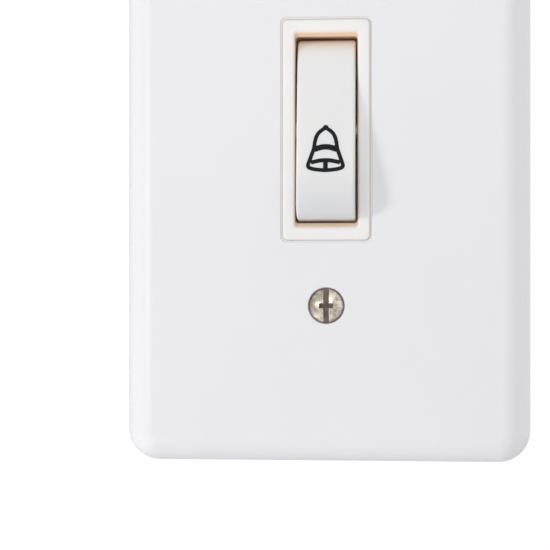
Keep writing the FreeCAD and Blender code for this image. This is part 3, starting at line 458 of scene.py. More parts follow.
class Workpiece:
    """A mesh on the bench, in millimetres, shaped with the modelling operators."""

    def __init__(self, made: bpy.types.Object, name: str) -> None:
        """Takes a mesh object in hand under a new name."""
        self.made = made
        made.name = name

    # ---- starts

    @classmethod
    def block(cls, name: str, low: Sequence[float], high: Sequence[float]) -> "Workpiece":
        """A box between two corners.

        Args:
            name: its name.
            low: its lowest corner.
            high: its highest corner.

        Returns:
            The box.
        """
        deselect()
        bpy.ops.mesh.primitive_cube_add(size=1, location=[(a + b) / 2 for a, b in zip(low, high)],
                                        scale=[b - a for a, b in zip(low, high)])
        return cls(bpy.context.object, name).settle()

    @classmethod
    def rod(cls, name: str, radius: float, start: float, end: float, centre: Pair = (0.0, 0.0),
            axis: Axis = Axis.Y, sides: int = 48) -> "Workpiece":
        """A round bar.

        Args:
            name: its name.
            radius: its radius.
            start: where it starts along its axis.
            end: where it ends along its axis.
            centre: its centre in the other two coordinates, in their order.
            axis: its axis.
            sides: how many flats stand for the round.

        Returns:
            The bar.
        """
        middle = (start + end) / 2
        spot = (middle, *centre) if axis is Axis.X else (centre[0], middle, centre[1])
        deselect()
        bpy.ops.mesh.primitive_cylinder_add(vertices=sides, radius=radius, depth=end - start, location=spot,
                                            rotation=axis.value)
        return cls(bpy.context.object, name).settle()

    @classmethod
    def turned(cls, name: str, profile: Profile, height: float = 0.0, sides: int = 64) -> "Workpiece":
        """A piece turned about an axis along Y.

        Args:
            name: its name.
            profile: radius and depth of each ring, from one end to the other.
            height: the axis's height.
            sides: how many flats stand for the round.

        Returns:
            The closed piece.
        """
        (radius, depth), *rest = profile
        deselect()
        bpy.ops.mesh.primitive_circle_add(vertices=sides, radius=radius, fill_type="NGON",
                                          location=(0, depth, height), rotation=Axis.Y.value)
        piece = cls(bpy.context.object, name).settle()
        piece.pick_all()
        for wide, deep in rest:
            bpy.ops.mesh.extrude_region_move(TRANSFORM_OT_translate={"value": (0, deep - depth, 0)})
            share = wide / radius
            bpy.ops.transform.resize(value=(share, 1, share), center_override=(0, deep, height))
            radius, depth = wide, deep
        return piece.tidy()

    @classmethod
    def threaded(cls, name: str, outer: float, root: float, start: float, end: float, pitch: float,
                 sides: int = 20, steps: int = 12) -> "Workpiece":
        """A single-start thread along Y: an off-centre bar twisted about the screw's axis.

        Args:
            name: its name.
            outer: the crest's radius.
            root: the root's radius.
            start: where it starts.
            end: where it ends.
            pitch: the advance of one turn.
            sides: how many flats stand for its round section.
            steps: how many rings one turn has.

        Returns:
            The threaded bar.
        """
        length = end - start
        deselect()
        bpy.ops.mesh.primitive_cylinder_add(vertices=sides, radius=(outer + root) / 2, depth=length,
                                            location=((outer - root) / 2, 0, 0))
        piece = cls(bpy.context.object, name).settle()
        cuts = math.ceil(math.sqrt(steps * length / pitch)) - 1
        for _ in range(2):
            piece.pick_edges(lambda first, last: abs(first.z - last.z) > NEAR)
            bpy.ops.mesh.subdivide(number_cuts=cuts)
        piece.hold()
        twist = piece.made.modifiers.new("Twist", "SIMPLE_DEFORM")
        twist.deform_method, twist.deform_axis, twist.angle = "TWIST", "Z", 2 * math.pi * length / pitch
        bpy.ops.object.modifier_apply(modifier=twist.name)
        piece.made.rotation_euler = Axis.Y.value
        piece.made.location = (0, (start + end) / 2, 0)
        return piece.settle()

    @classmethod
    def wire_along(cls, name: str, route: Sequence[Point], wire: float, rings: int = 4) -> "Workpiece":
        """A round wire along a smooth route.

        Args:
            name: its name.
            route: control points of its centreline.
            wire: its diameter.
            rings: smoothness of its section.

        Returns:
            The wire as a closed mesh.
        """
        deselect()
        bpy.ops.curve.primitive_nurbs_path_add()
        line = bpy.context.object
        spline = line.data.splines[0]
        if len(route) > len(spline.points):
            spline.points.add(len(route) - len(spline.points))
        for point, spot in zip(spline.points, route, strict=True):
            point.co = (*spot, 1.0)
        spline.order_u = 3
        spline.use_endpoint_u = True
        spline.resolution_u = 4
        line.data.bevel_depth, line.data.bevel_resolution, line.data.use_fill_caps = wire / 2, rings, True
        bpy.ops.object.convert(target="MESH")
        return cls(bpy.context.object, name).settle().tidy()

    @classmethod
    def copied(cls, name: str, node: str) -> "Workpiece":
        """A working copy of a CAD node, with its loose triangles merged and its flat faces whole.

        Args:
            name: the copy's name.
            node: the CAD node.

        Returns:
            The copy.
        """
        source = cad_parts[node]
        made = bpy.data.objects.new(name, source.data.copy())
        bpy.context.scene.collection.objects.link(made)
        made.scale = (1 / MM,) * 3
        piece = cls(made, name).settle()
        piece.hold()
        made.data.materials.clear()
        bpy.ops.mesh.customdata_custom_splitnormals_clear()
        piece.pick_all()
        bpy.ops.mesh.remove_doubles(threshold=DOUBLES)
        bpy.ops.mesh.dissolve_limited(angle_limit=math.radians(0.5))
        bpy.ops.object.mode_set(mode="OBJECT")
        return piece

    # ---- holding and choosing

    def hold(self) -> None:
        """Leaves only this piece selected and active, in object mode."""
        deselect()
        self.made.select_set(True)
        bpy.context.view_layer.objects.active = self.made

    def settle(self) -> "Workpiece":
        """Moves the object's place, turn and scale into its mesh.

        Returns:
            The same piece.
        """
        self.hold()
        bpy.ops.object.transform_apply(location=True, rotation=True, scale=True)
        return self

    def tidy(self) -> "Workpiece":
        """Merges doubled points and turns every face outwards.

        Returns:
            The same piece.
        """
        self.pick_all()
        bpy.ops.mesh.remove_doubles(threshold=DOUBLES)
        bpy.ops.mesh.normals_make_consistent(inside=False)
        bpy.ops.object.mode_set(mode="OBJECT")
        return self

    def pick_edges(self, test: EdgeTest) -> int:
        """Selects the edges whose two end points pass a test, in edit mode.

        Args:
            test: takes the two end points.

        Returns:
            How many were selected.
        """
        return self._pick((False, True, False), lambda mesh: [
            edge for edge in mesh.edges if test(edge.verts[0].co, edge.verts[1].co)])

    def pick_faces(self, test: FaceTest) -> int:
        """Selects the faces that pass a test, in edit mode.

        Args:
            test: takes a face's centre and normal.

        Returns:
            How many were selected.
        """
        return self._pick((False, False, True), lambda mesh: [
            face for face in mesh.faces if test(face.calc_center_median(), face.normal)])

    def pick_all(self) -> None:
        """Selects every face, in edit mode."""
        self.pick_faces(lambda centre, normal: True)

    def merge_flats(self) -> None:
        """Makes one face of faces that lie within a degree of flat, and stays in edit mode."""
        self.pick_all()
        bpy.ops.mesh.dissolve_limited(angle_limit=math.radians(1))

    def _pick(self, mode: tuple[bool, bool, bool], choose: Callable[[bmesh.types.BMesh], list[Any]]) -> int:
        """Selects what a function chooses from the mesh, and nothing else.

        Args:
            mode: whether points, edges and faces can be selected.
            choose: takes the mesh and returns the chosen items.

        Returns:
            How many were selected.
        """
        self.hold()
        bpy.context.tool_settings.mesh_select_mode = mode
        bpy.ops.object.mode_set(mode="EDIT")
        bpy.ops.mesh.select_all(action="DESELECT")
        mesh = bmesh.from_edit_mesh(self.made.data)
        chosen = choose(mesh)
        for item in chosen:
            item.select_set(True)
        bmesh.update_edit_mesh(self.made.data)
        return len(chosen)

    # ---- shaping

    def round_edges(self, test: EdgeTest, radius: float, segments: int = 4) -> "Workpiece":
        """Rounds the edges that pass a test.

        Args:
            test: takes an edge's two end points.
            radius: the round's radius.
            segments: how many flats stand for the round.

        Returns:
            The same piece.
        """
        if self.pick_edges(test):
            bpy.ops.mesh.bevel(offset=radius, segments=segments, affect="EDGES")
        else:
            LOG.warning("%s: no edge to round at %.2f mm", self.made.name, radius)
        bpy.ops.object.mode_set(mode="OBJECT")
        return self

    def sink(self, test: FaceTest, rim: float, move: Point) -> "Workpiece":
        """Insets the faces that pass a test and pushes what is inside the rim.

        Args:
            test: takes a face's centre and normal.
            rim: the rim left round it.
            move: how far and which way it goes.

        Returns:
            The same piece.
        """
        if not self.pick_faces(test):
            LOG.warning("%s: no face to sink", self.made.name)
        bpy.ops.mesh.inset(thickness=rim, use_even_offset=True)
        bpy.ops.mesh.extrude_region_move(TRANSFORM_OT_translate={"value": move})
        bpy.ops.object.mode_set(mode="OBJECT")
        return self

    def cut(self, *tools: "Workpiece") -> "Workpiece":
        """Takes the tools' volumes away."""
        return self._combine("DIFFERENCE", tools)

    def weld(self, *others: "Workpiece") -> "Workpiece":
        """Makes one closed piece of this and the others."""
        return self._combine("UNION", others)

    def _combine(self, operation: str, tools: Sequence["Workpiece"]) -> "Workpiece":
        """Applies a Boolean modifier for each tool, and removes the tools.

        Args:
            operation: the Boolean's kind, in Blender's word.
            tools: the other pieces.

        Returns:
            The same piece.
        """
        for tool in tools:
            self.hold()
            joint = self.made.modifiers.new("Combine", "BOOLEAN")
            joint.object, joint.operation, joint.solver = tool.made, operation, "EXACT"
            bpy.ops.object.modifier_apply(modifier=joint.name)
            bpy.data.objects.remove(tool.made)
        return self

    def soften(self, width: float, segments: int = 2, angle: float = 40.0) -> "Workpiece":
        """Breaks every edge sharper than an angle.

        Args:
            width: how far the break reaches from the edge.
            segments: how many flats it has.
            angle: the angle in degrees.

        Returns:
            The same piece.
        """
        self.hold()
        broken = self.made.modifiers.new("Break", "BEVEL")
        broken.width, broken.segments, broken.limit_method = width, segments, "ANGLE"
        broken.angle_limit = math.radians(angle)
        bpy.ops.object.modifier_apply(modifier=broken.name)
        return self

    def twin(self, name: str, flip: Point) -> "Workpiece":
        """A copy with its own mesh, mirrored where a factor is negative.

        Args:
            name: the copy's name.
            flip: the factor on each axis.

        Returns:
            The copy.
        """
        made = self.made.copy()
        made.data = self.made.data.copy()
        bpy.context.scene.collection.objects.link(made)
        made.scale = flip
        return Workpiece(made, name).settle().tidy()

    def pair(self, first: Point, second: Point) -> "Workpiece":
        """Puts this piece at one place and a copy of it at another, as one object.

        Args:
            first: the place of this piece.
            second: the place of the copy.

        Returns:
            The two as one piece.
        """
        other = self.twin(self.made.name + "_second", (1, 1, 1))
        for piece, place in ((self, first), (other, second)):
            piece.made.location = place
            piece.settle()
        return self.join(other)

    def join(self, *others: "Workpiece") -> "Workpiece":
        """Makes one object of separate shells.

        Args:
            others: the pieces that this one takes in.

        Returns:
            The same piece.
        """
        self.hold()
        for other in others:
            other.made.select_set(True)
        bpy.ops.object.join()
        return self

    def tilt(self, angle: float, pivot: Point) -> "Workpiece":
        """Turns the piece about the X axis at its own origin, and moves that origin to the pivot.

        Args:
            angle: the turn in radians.
            pivot: where its origin goes.

        Returns:
            The same piece.
        """
        self.made.rotation_euler = (angle, 0, 0)
        self.made.location = pivot
        return self.settle()

    # ---- finishing

    def finish(self, look: Finish, body: str, slot: str, *nodes: str) -> bpy.types.Object:
        """Brings the piece to scale, shades it, dresses it and hangs it on its body.

        Args:
            look: its finish.
            body: the CAD body it moves with.
            slot: the name of a material slot; not used.
            nodes: the CAD nodes it stands for.

        Returns:
            The finished object.
        """
        self.made.scale = (MM,) * 3
        self.settle()
        bpy.ops.object.shade_smooth_by_angle(angle=math.radians(SMOOTH_BELOW))
        weighted = self.made.modifiers.new("Weighted", "WEIGHTED_NORMAL")
        weighted.keep_sharp = True
        bpy.ops.object.modifier_apply(modifier=weighted.name)
        self.made.data.materials.clear()
        self.made.data.materials.append(look.material())
        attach(self.made, body)
        if nodes:
            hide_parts(*nodes)
        LOG.info("%s: %d faces, rides on %s", self.made.name, len(self.made.data.polygons), body)
        return self.made


def deselect() -> None:
    """Leaves nothing selected, in object mode."""
    if bpy.context.mode != "OBJECT":
        bpy.ops.object.mode_set(mode="OBJECT")
    bpy.ops.object.select_all(action="DESELECT")


def shifted(profile: Profile, start: float) -> list[Pair]:
    """A profile of radius and depth, with its depths counted from a start."""
    return [(radius, start + depth) for radius, depth in profile]


def rearward(centre: Vector, normal: Vector) -> bool:
    """A face test: looks to the rear."""
    return normal.y > 0.9


def frontward(centre: Vector, normal: Vector) -> bool:
    """A face test: looks to the front."""
    return normal.y < -0.9


def along_y(first: Vector, last: Vector) -> bool:
    """An edge test: runs from front to rear."""
    return abs(first.y - last.y) > NEAR


def level(depth: float) -> EdgeTest:
    """An edge test: both ends at one depth."""
    return lambda first, last: abs(first.y - depth) < NEAR and abs(last.y - depth) < NEAR


def crosswise(depth: float) -> EdgeTest:
    """An edge test: both ends at one depth and one height."""
    return lambda first, last: level(depth)(first, last) and abs(first.z - last.z) < NEAR


def upright(width: float, height: float) -> EdgeTest:
    """An edge test: runs along Y at the corners of a centred rectangle."""
    return lambda first, last: along_y(first, last) and all(
        abs(abs(end.x) - width / 2) < NEAR and abs(abs(end.z) - height / 2) < NEAR for end in (first, last))


def within(depth: float, width: float, height: float) -> EdgeTest:
    """An edge test: both ends at one depth and inside a centred rectangle."""
    return lambda first, last: level(depth)(first, last) and all(
        abs(end.x) < width / 2 + NEAR and abs(end.z) < height / 2 + NEAR for end in (first, last))


def panel(name: str, width: float, height: float, front: float, rear: float, corner: float,
          middle: Pair = (0.0, 0.0)) -> Workpiece:
    """A slab that faces along Y, with round corners.

    Args:
        name: its name.
        width: its size along X.
        height: its size along Z.
        front: its front level.
        rear: its rear level.
        corner: its corner radius.
        middle: its centre in X and Z.

    Returns:
        The slab.
    """
    across, up = middle
    slab = Workpiece.block(name, (across - width / 2, front, up - height / 2),
                           (across + width / 2, rear, up + height / 2))
    return slab.round_edges(along_y, corner, 8)


class SubAssembly(ABC):
    """A group of pieces that one maker would hand over together."""

    @abstractmethod
    def build(self) -> list[bpy.types.Object]:
        """Builds and dresses the group's pieces.

        Returns:
            The finished pieces.
        """


# ---------------------------------------------------------------- sub-assemblies


@dataclass
class CoverPlate(SubAssembly):
    """Moulded cover: a bullnose tray with its window, collar, screw bosses and stiffening ribs."""

    wall: float = 2.0
    corner: float = 5.5
    edge_round: float = 5.0
    window: Pair = (15.6, 38.5)
    clear: Pair = (15.06, 37.96)
    groove: float = 0.17
    window_corner: float = 0.9
    window_round: float = 0.2
    collar_wall: float = 1.3
    collar_rear: float = -1.8
    boss_radius: float = 4.2
    boss_rear: float = -1.4
    screw_height: float = 30.15
    hole_radius: float = 1.9
    seat_radius: float = 3.2
    seat_depth: float = 3.65
    rib: Pair = (1.0, 1.3)
    rib_heights: tuple[float, ...] = (-44.0, -13.0, 13.0, 44.0)
    rib_across: float = 20.5
    rib_bite: float = 0.5
    rib_stop: float = 2.3
    pin_mark: float = 2.0
    pin_depth: float = 0.15
    pin_across: float = 27.0
    pin_heights: tuple[float, ...] = (-50.0, -28.0, 0.0, 28.0, 50.0)
    seat_round: float = 0.12

    def build(self) -> list[bpy.types.Object]:
        """The plate as one moulding.

        Returns:
            The plate.
        """
        low, high = span("wall_plate")
        front, inside = low.y, low.y + self.wall
        width, height = high.x - low.x, high.z - low.z
        plate = Workpiece.block("wall_plate_moulding", low, high)
        plate.round_edges(upright(width, height), self.corner, 14)
        plate.round_edges(level(front), self.edge_round, 14)
        plate.sink(rearward, self.wall, (0, inside, 0))
        plate.round_edges(within(inside, width - 2 * self.wall, height - 2 * self.wall),
                          self.edge_round - self.wall, 6)
        plate.weld(*self.stiffening(inside, width, height))
        plate.cut(panel("window_tool", *self.window, front - 2, front + self.groove, self.window_corner),
                  panel("window_tool", *self.clear, front - 2, 2, self.window_corner),
                  *self.pin_marks(inside), *self.screw_seats(front))
        plate.round_edges(within(front, *self.window), self.window_round, 3)
        plate.round_edges(lambda first, last: level(front)(first, last) and all(
            abs(math.hypot(end.x, abs(end.z) - self.screw_height) - self.seat_radius) < 0.02
            for end in (first, last)), self.seat_round, 2)
        return [plate.finish(WHITE_PLATE, "base", "white_plate", "wall_plate")]

    def stiffening(self, inside: float, width: float, height: float) -> list[Workpiece]:
        """The collar, the two bosses and the ribs behind the plate's face.

        Args:
            inside: the depth of the face's inner side.
            width: the plate's width.
            height: the plate's height.

        Returns:
            The pieces to weld on.
        """
        root = inside - self.wall / 2
        reach, half = (self.window[0] + 2 * self.collar_wall, self.window[1] + 2 * self.collar_wall)
        parts = [panel("collar", reach, half, root, self.collar_rear, self.collar_wall)]
        for side in (1, -1):
            parts.append(Workpiece.rod("boss", self.boss_radius, root, self.boss_rear,
                                       (0, side * self.screw_height)))
        thick, deep = self.rib
        foot = inside - self.rib_bite
        far, tall = width / 2 - self.rib_stop, height / 2 - self.rib_stop
        for up in self.rib_heights:
            parts.append(Workpiece.block("rib", (-far, foot, up - thick / 2),
                                         (far, inside + deep, up + thick / 2)))
        for across in (-self.rib_across, self.rib_across):
            parts.append(Workpiece.block("rib", (across - thick / 2, foot, -tall),
                                         (across + thick / 2, inside + deep, tall)))
        return parts

    def pin_marks(self, inside: float) -> list[Workpiece]:
        """Tools for the shallow round marks of the mould's ejector pins."""
        return [Workpiece.rod("pin_mark", self.pin_mark, inside - self.pin_depth, inside + 1, (across, up),
                              sides=24)
                for across in (-self.pin_across, self.pin_across) for up in self.pin_heights]

    def screw_seats(self, front: float) -> list[Workpiece]:
        """Tools for the two screw holes with their cones.

        Args:
            front: the depth of the plate's face.

        Returns:
            The tools.
        """
        tools = []
        for side in (1, -1):
            up = side * self.screw_height
            slope = self.seat_radius / self.seat_depth
            rear = front + (self.seat_radius - self.hole_radius) / slope
            tools.append(Workpiece.turned("seat", [(self.seat_radius + slope, front - 1),
                                                   (self.seat_radius, front), (self.hole_radius, rear),
                                                   (self.hole_radius, 2)], up))
        return tools


@dataclass
class PlateScrews(SubAssembly):
    """Oval-head screws with a cross recess and a slot right across, and a rolled thread."""

    head_radius: float = 3.08
    rise: float = 0.9
    cone: float = 1.6
    shank: float = 1.7
    root: float = 1.24
    pitch: float = 0.794
    length: float = 12.7
    slot: float = 0.95
    recess: float = 0.83
    cross: float = 3.4
    height: float = 30.15
    rim: float = -6.0
    rings: int = 10
    crown_from: float = 0.3
    crown_trim: float = 0.4
    brim: float = 0.22
    neck_run: float = 0.4
    tip: float = 1.2
    arm_taper: Pair = (0.55, 0.8)

    def build(self) -> list[bpy.types.Object]:
        """One screw, and a second one below.

        Returns:
            The two screws as one piece.
        """
        dome = (self.head_radius ** 2 + self.rise ** 2) / (2 * self.rise)
        crown = self.rim - self.rise
        radii = [self.crown_from + (self.head_radius - self.crown_trim) * ring / (self.rings - 1)
                 for ring in range(self.rings)]
        profile = [(r, crown + dome - math.sqrt(dome ** 2 - r ** 2)) for r in radii]
        neck = self.rim + self.cone
        end = crown + self.length
        profile += [(self.head_radius, self.rim + self.brim), (self.shank, neck),
                    (self.root, neck + self.neck_run), (self.root, end - self.tip)]
        screw = Workpiece.turned("plate_screw_pair", profile)
        screw.weld(Workpiece.threaded("thread", self.shank, self.root, neck + 0.35, end - 0.1, self.pitch))
        screw.cut(*self.recess_tools(crown))
        both = screw.pair((0, 0, self.height), (0, 0, -self.height))
        return [both.finish(NICKEL, "base", "nickel_screw", "plate_screws")]

    def recess_tools(self, crown: float) -> list[Workpiece]:
        """Tools for the slot and for the cross, whose arms taper inwards.

        Args:
            crown: the depth of the head's top.

        Returns:
            The tools.
        """
        floor, half = crown + self.recess, self.slot / 2
        slot = Workpiece.block("slot_tool", (-half, crown - 1, -self.head_radius - 1),
                               (half, floor, self.head_radius + 1))
        arm = Workpiece.block("cross_tool", (-self.cross / 2, crown - 1, -half), (self.cross / 2, floor, half))
        arm.pick_faces(rearward)
        bpy.ops.transform.resize(value=(self.arm_taper[0], 1, self.arm_taper[1]), center_override=(0, floor, 0))
        return [slot, arm]


@dataclass
class Bezel(SubAssembly):
    """The bezel round the rocker with its deck, lugs and press stop."""

    rim_rear: float = 0.7
    rim: Pair = (15.0, 37.9)
    rim_corner: float = 0.9
    outer_round: float = 0.4
    opening: Pair = (10.6, 32.0)
    mouth: Pair = (11.0, 33.9)
    mouth_floor: float = -5.5
    opening_corner: float = 0.5
    opening_round: float = 0.35
    deck: Pair = (24.0, 41.0)
    deck_front: float = -0.1
    lug_width: float = 10.0
    stop: Pair = (-17.1, -13.1)
    stop_front: float = -1.26
    pivot: Pair = (-3.7, 0.0)
    pin_hole: float = 1.02
    sleeve: float = 1.6
    carrier_hole: Pair = (6.3, 7.3)
    carrier_height: float = -9.355
    rivet_height: float = 23.4
    rivet_hole: float = 1.55
    deck_corner: float = 0.6
    lug_corner: float = 0.8
    stop_bite: float = 0.4
    sleeve_span: Pair = (5.15, 6.2)
    carrier_corner: float = 0.3

    def build(self) -> list[bpy.types.Object]:
        """The bezel and its deck as one moulding.

        Returns:
            The bezel.
        """
        low, high = span("bezel_frame")
        bezel = panel("bezel_moulding", *self.rim, low.y, self.rim_rear, self.rim_corner)
        bezel.round_edges(level(low.y), self.outer_round, 5)
        mouth = panel("mouth_tool", *self.opening, low.y, self.mouth_floor, self.opening_corner)
        mouth.pick_faces(frontward)
        bpy.ops.transform.resize(value=(self.mouth[0] / self.opening[0], 1, self.mouth[1] / self.opening[1]),
                                 center_override=(0, low.y, 0))
        bpy.ops.mesh.extrude_region_move(TRANSFORM_OT_translate={"value": (0, -1, 0)})
        # The two tools overlap, so that no skin is left between them.
        bezel.cut(mouth, panel("opening_tool", *self.opening, self.mouth_floor - 0.2, self.deck_front,
                               self.opening_corner))
        bezel.round_edges(within(low.y, *self.mouth), self.opening_round, 5)
        deck = panel("deck", *self.deck, self.deck_front, high.y, self.deck_corner)
        lugs = panel("lugs", self.lug_width, high.z - low.z, self.deck_front, high.y, self.lug_corner)
        bite = self.stop_bite
        stop = Workpiece.block("stop", (-self.opening[0] / 2 - bite, self.stop_front, self.stop[0] - bite),
                               (self.opening[0] / 2 + bite, self.deck_front + 0.5, self.stop[1]))
        sleeves = [Workpiece.rod("sleeve", self.sleeve, *sorted(side * end for end in self.sleeve_span),
                                 self.pivot, Axis.X) for side in (1, -1)]
        bezel.weld(deck, lugs, stop, *sleeves)
        bezel.cut(panel("carrier_tool", *self.carrier_hole, self.deck_front - 1, high.y + 1, self.carrier_corner,
                        (0, self.carrier_height)),
                  Workpiece.rod("pin_tool", self.pin_hole, *SIDEWAYS, self.pivot, Axis.X),
                  *(Workpiece.rod("rivet_tool", self.rivet_hole, *THROUGH, (0, side * self.rivet_height))
                    for side in (1, -1)))
        return [bezel.finish(WHITE_BEZEL, "base", "white_bezel", "bezel_frame")]


@dataclass
class Rocker(SubAssembly):
    """The rocker with its printed bell, and the pin that it turns on."""

    pivot: Point = (0.0, -3.7, 0.0)
    rest_tilt: float = 8.0
    width: float = 10.0
    length: float = 31.4
    face: float = -4.0
    skirt: float = 1.2
    end_round: float = 2.9
    slope_from: float = 9.6
    slope_round: float = 2.8
    slope_drop: float = 0.4
    side_round: float = 0.5
    face_wall: float = 1.5
    side_wall: float = 1.2
    hollow_round: float = 1.6
    barrel: float = 2.3
    bore: float = 1.05
    foot_drop: float = 9.2
    foot_length: float = 5.8
    foot: Pair = (4.0, 2.4)
    foot_round: float = 1.1
    web: float = 2.0
    bell_base: float = -8.1
    stroke: float = 0.68
    film_grain: float = 0.05
    film_share: float = 0.08
    overlap: float = 0.7
    pin_round: float = 0.2

    def build(self) -> list[bpy.types.Object]:
        """The rocker, its print and its pin.

        Returns:
            The three pieces.
        """
        half_width, half_length = self.width / 2, self.length / 2
        inside = self.face + self.face_wall
        rocker = Workpiece.block("rocker_moulding", (-half_width, self.face, -half_length),
                                 (half_width, self.skirt, half_length))
        for side in (1, -1):
            rocker.pick_all()
            bpy.ops.mesh.bisect(plane_co=(0, 0, side * self.slope_from), plane_no=(0, 0, 1))
            rocker.pick_edges(lambda first, last: level(self.face)(first, last)
                              and min(side * first.z, side * last.z) > half_length - NEAR)
            bpy.ops.transform.translate(value=(0, self.slope_drop, 0))
        rocker.merge_flats()
        rocker.round_edges(lambda first, last: crosswise(self.face)(first, last)
                           and abs(abs(first.z) - self.slope_from) < NEAR, self.slope_round, 6)
        rocker.round_edges(crosswise(self.face + self.slope_drop), self.end_round, 12)
        rocker.round_edges(lambda first, last: abs(abs(first.x) - half_width) < NEAR and abs(
            first.x - last.x) < NEAR and min(first.y, last.y) < self.skirt - NEAR, self.side_round, 5)
        hollow = Workpiece.block("hollow_tool",
                                 (self.side_wall - half_width, inside, self.side_wall - half_length),
                                 (half_width - self.side_wall, 3, half_length - self.side_wall))
        hollow.round_edges(crosswise(inside), self.hollow_round, 8)
        rocker.cut(hollow)
        grip = half_width - self.side_wall / 2
        foot_low = -self.foot_drop - self.foot[1] / 2
        root = inside - self.overlap
        foot = Workpiece.block("foot", (-self.foot[0] / 2, root, foot_low),
                               (self.foot[0] / 2, self.foot_length, foot_low + self.foot[1]))
        foot.round_edges(crosswise(self.foot_length), self.foot_round, 8)
        rocker.weld(Workpiece.block("web", (-grip, root, -self.web / 2), (grip, 0, self.web / 2)),
                    Workpiece.rod("barrel", self.barrel, 0.02 - half_width, half_width - 0.02, axis=Axis.X), foot)
        rocker.cut(Workpiece.rod("bore_tool", self.bore, *SIDEWAYS, axis=Axis.X))
        turn = -math.radians(self.rest_tilt)
        bell = self.bell().tilt(turn, self.pivot)
        rocker.tilt(turn, self.pivot)
        low, high = span("rocker_pin")
        pin = Workpiece.rod("rocker_pin_ground", high.z, low.x, high.x, (self.pivot[1], 0), Axis.X)
        pin.round_edges(lambda first, last: abs(first.x - last.x) < NEAR and abs(first.x) > 7,
                        self.pin_round, 3)
        return [rocker.finish(WHITE_ROCKER, "rocker", "white_rocker", "rocker"),
                bell.finish(INK, "rocker", "white_rocker"),
                pin.finish(PIN_STEEL, "base", "pin_steel", "rocker_pin")]

    def bell(self) -> Workpiece:
        """The bell sign: strokes of ink that run together into one film on the rocker's face.

        Returns:
            The film.
        """
        side = [(0.0, 7.72), (0.62, 7.35), (1.45, 6.6), (1.84, 5.3), (1.95, 4.2), (2.3, 3.2), (2.66, 2.15),
                (3.03, 1.2), (2.85, 0.75), (1.5, 0.42), (0.0, 0.34)]
        strokes = [(side, self.stroke), ([(-across, up) for across, up in side], self.stroke),
                   ([(-1.9, 3.95), (-1.0, 4.3), (0.0, 4.42), (1.0, 4.3), (1.9, 3.95)], 0.98),
                   ([(-2.45, 1.68), (-1.2, 2.02), (0.0, 2.1), (1.2, 2.02), (2.45, 1.68)], 0.72),
                   ([(0.0, 2.1), (0.0, 1.7), (0.0, 1.3), (0.0, 0.9), (0.0, 0.5)], 0.8),
                   ([(-0.12, 7.62), (-0.06, 7.7), (0.0, 7.75), (0.06, 7.7), (0.12, 7.62)], 0.95)]
        film = []
        for points, wide in strokes:
            route = [(across, 0.0, up + self.bell_base) for across, up in points]
            film.append(Workpiece.wire_along("bell_print", route, wide))
        bell = film[0].join(*film[1:])
        flow = bell.made.modifiers.new("Flow", "REMESH")
        flow.mode, flow.voxel_size = "VOXEL", self.film_grain
        bpy.ops.object.modifier_apply(modifier=flow.name)
        bell.made.scale = (1, self.film_share, 1)
        bell.made.location = (0, self.face, 0)
        return bell.settle()


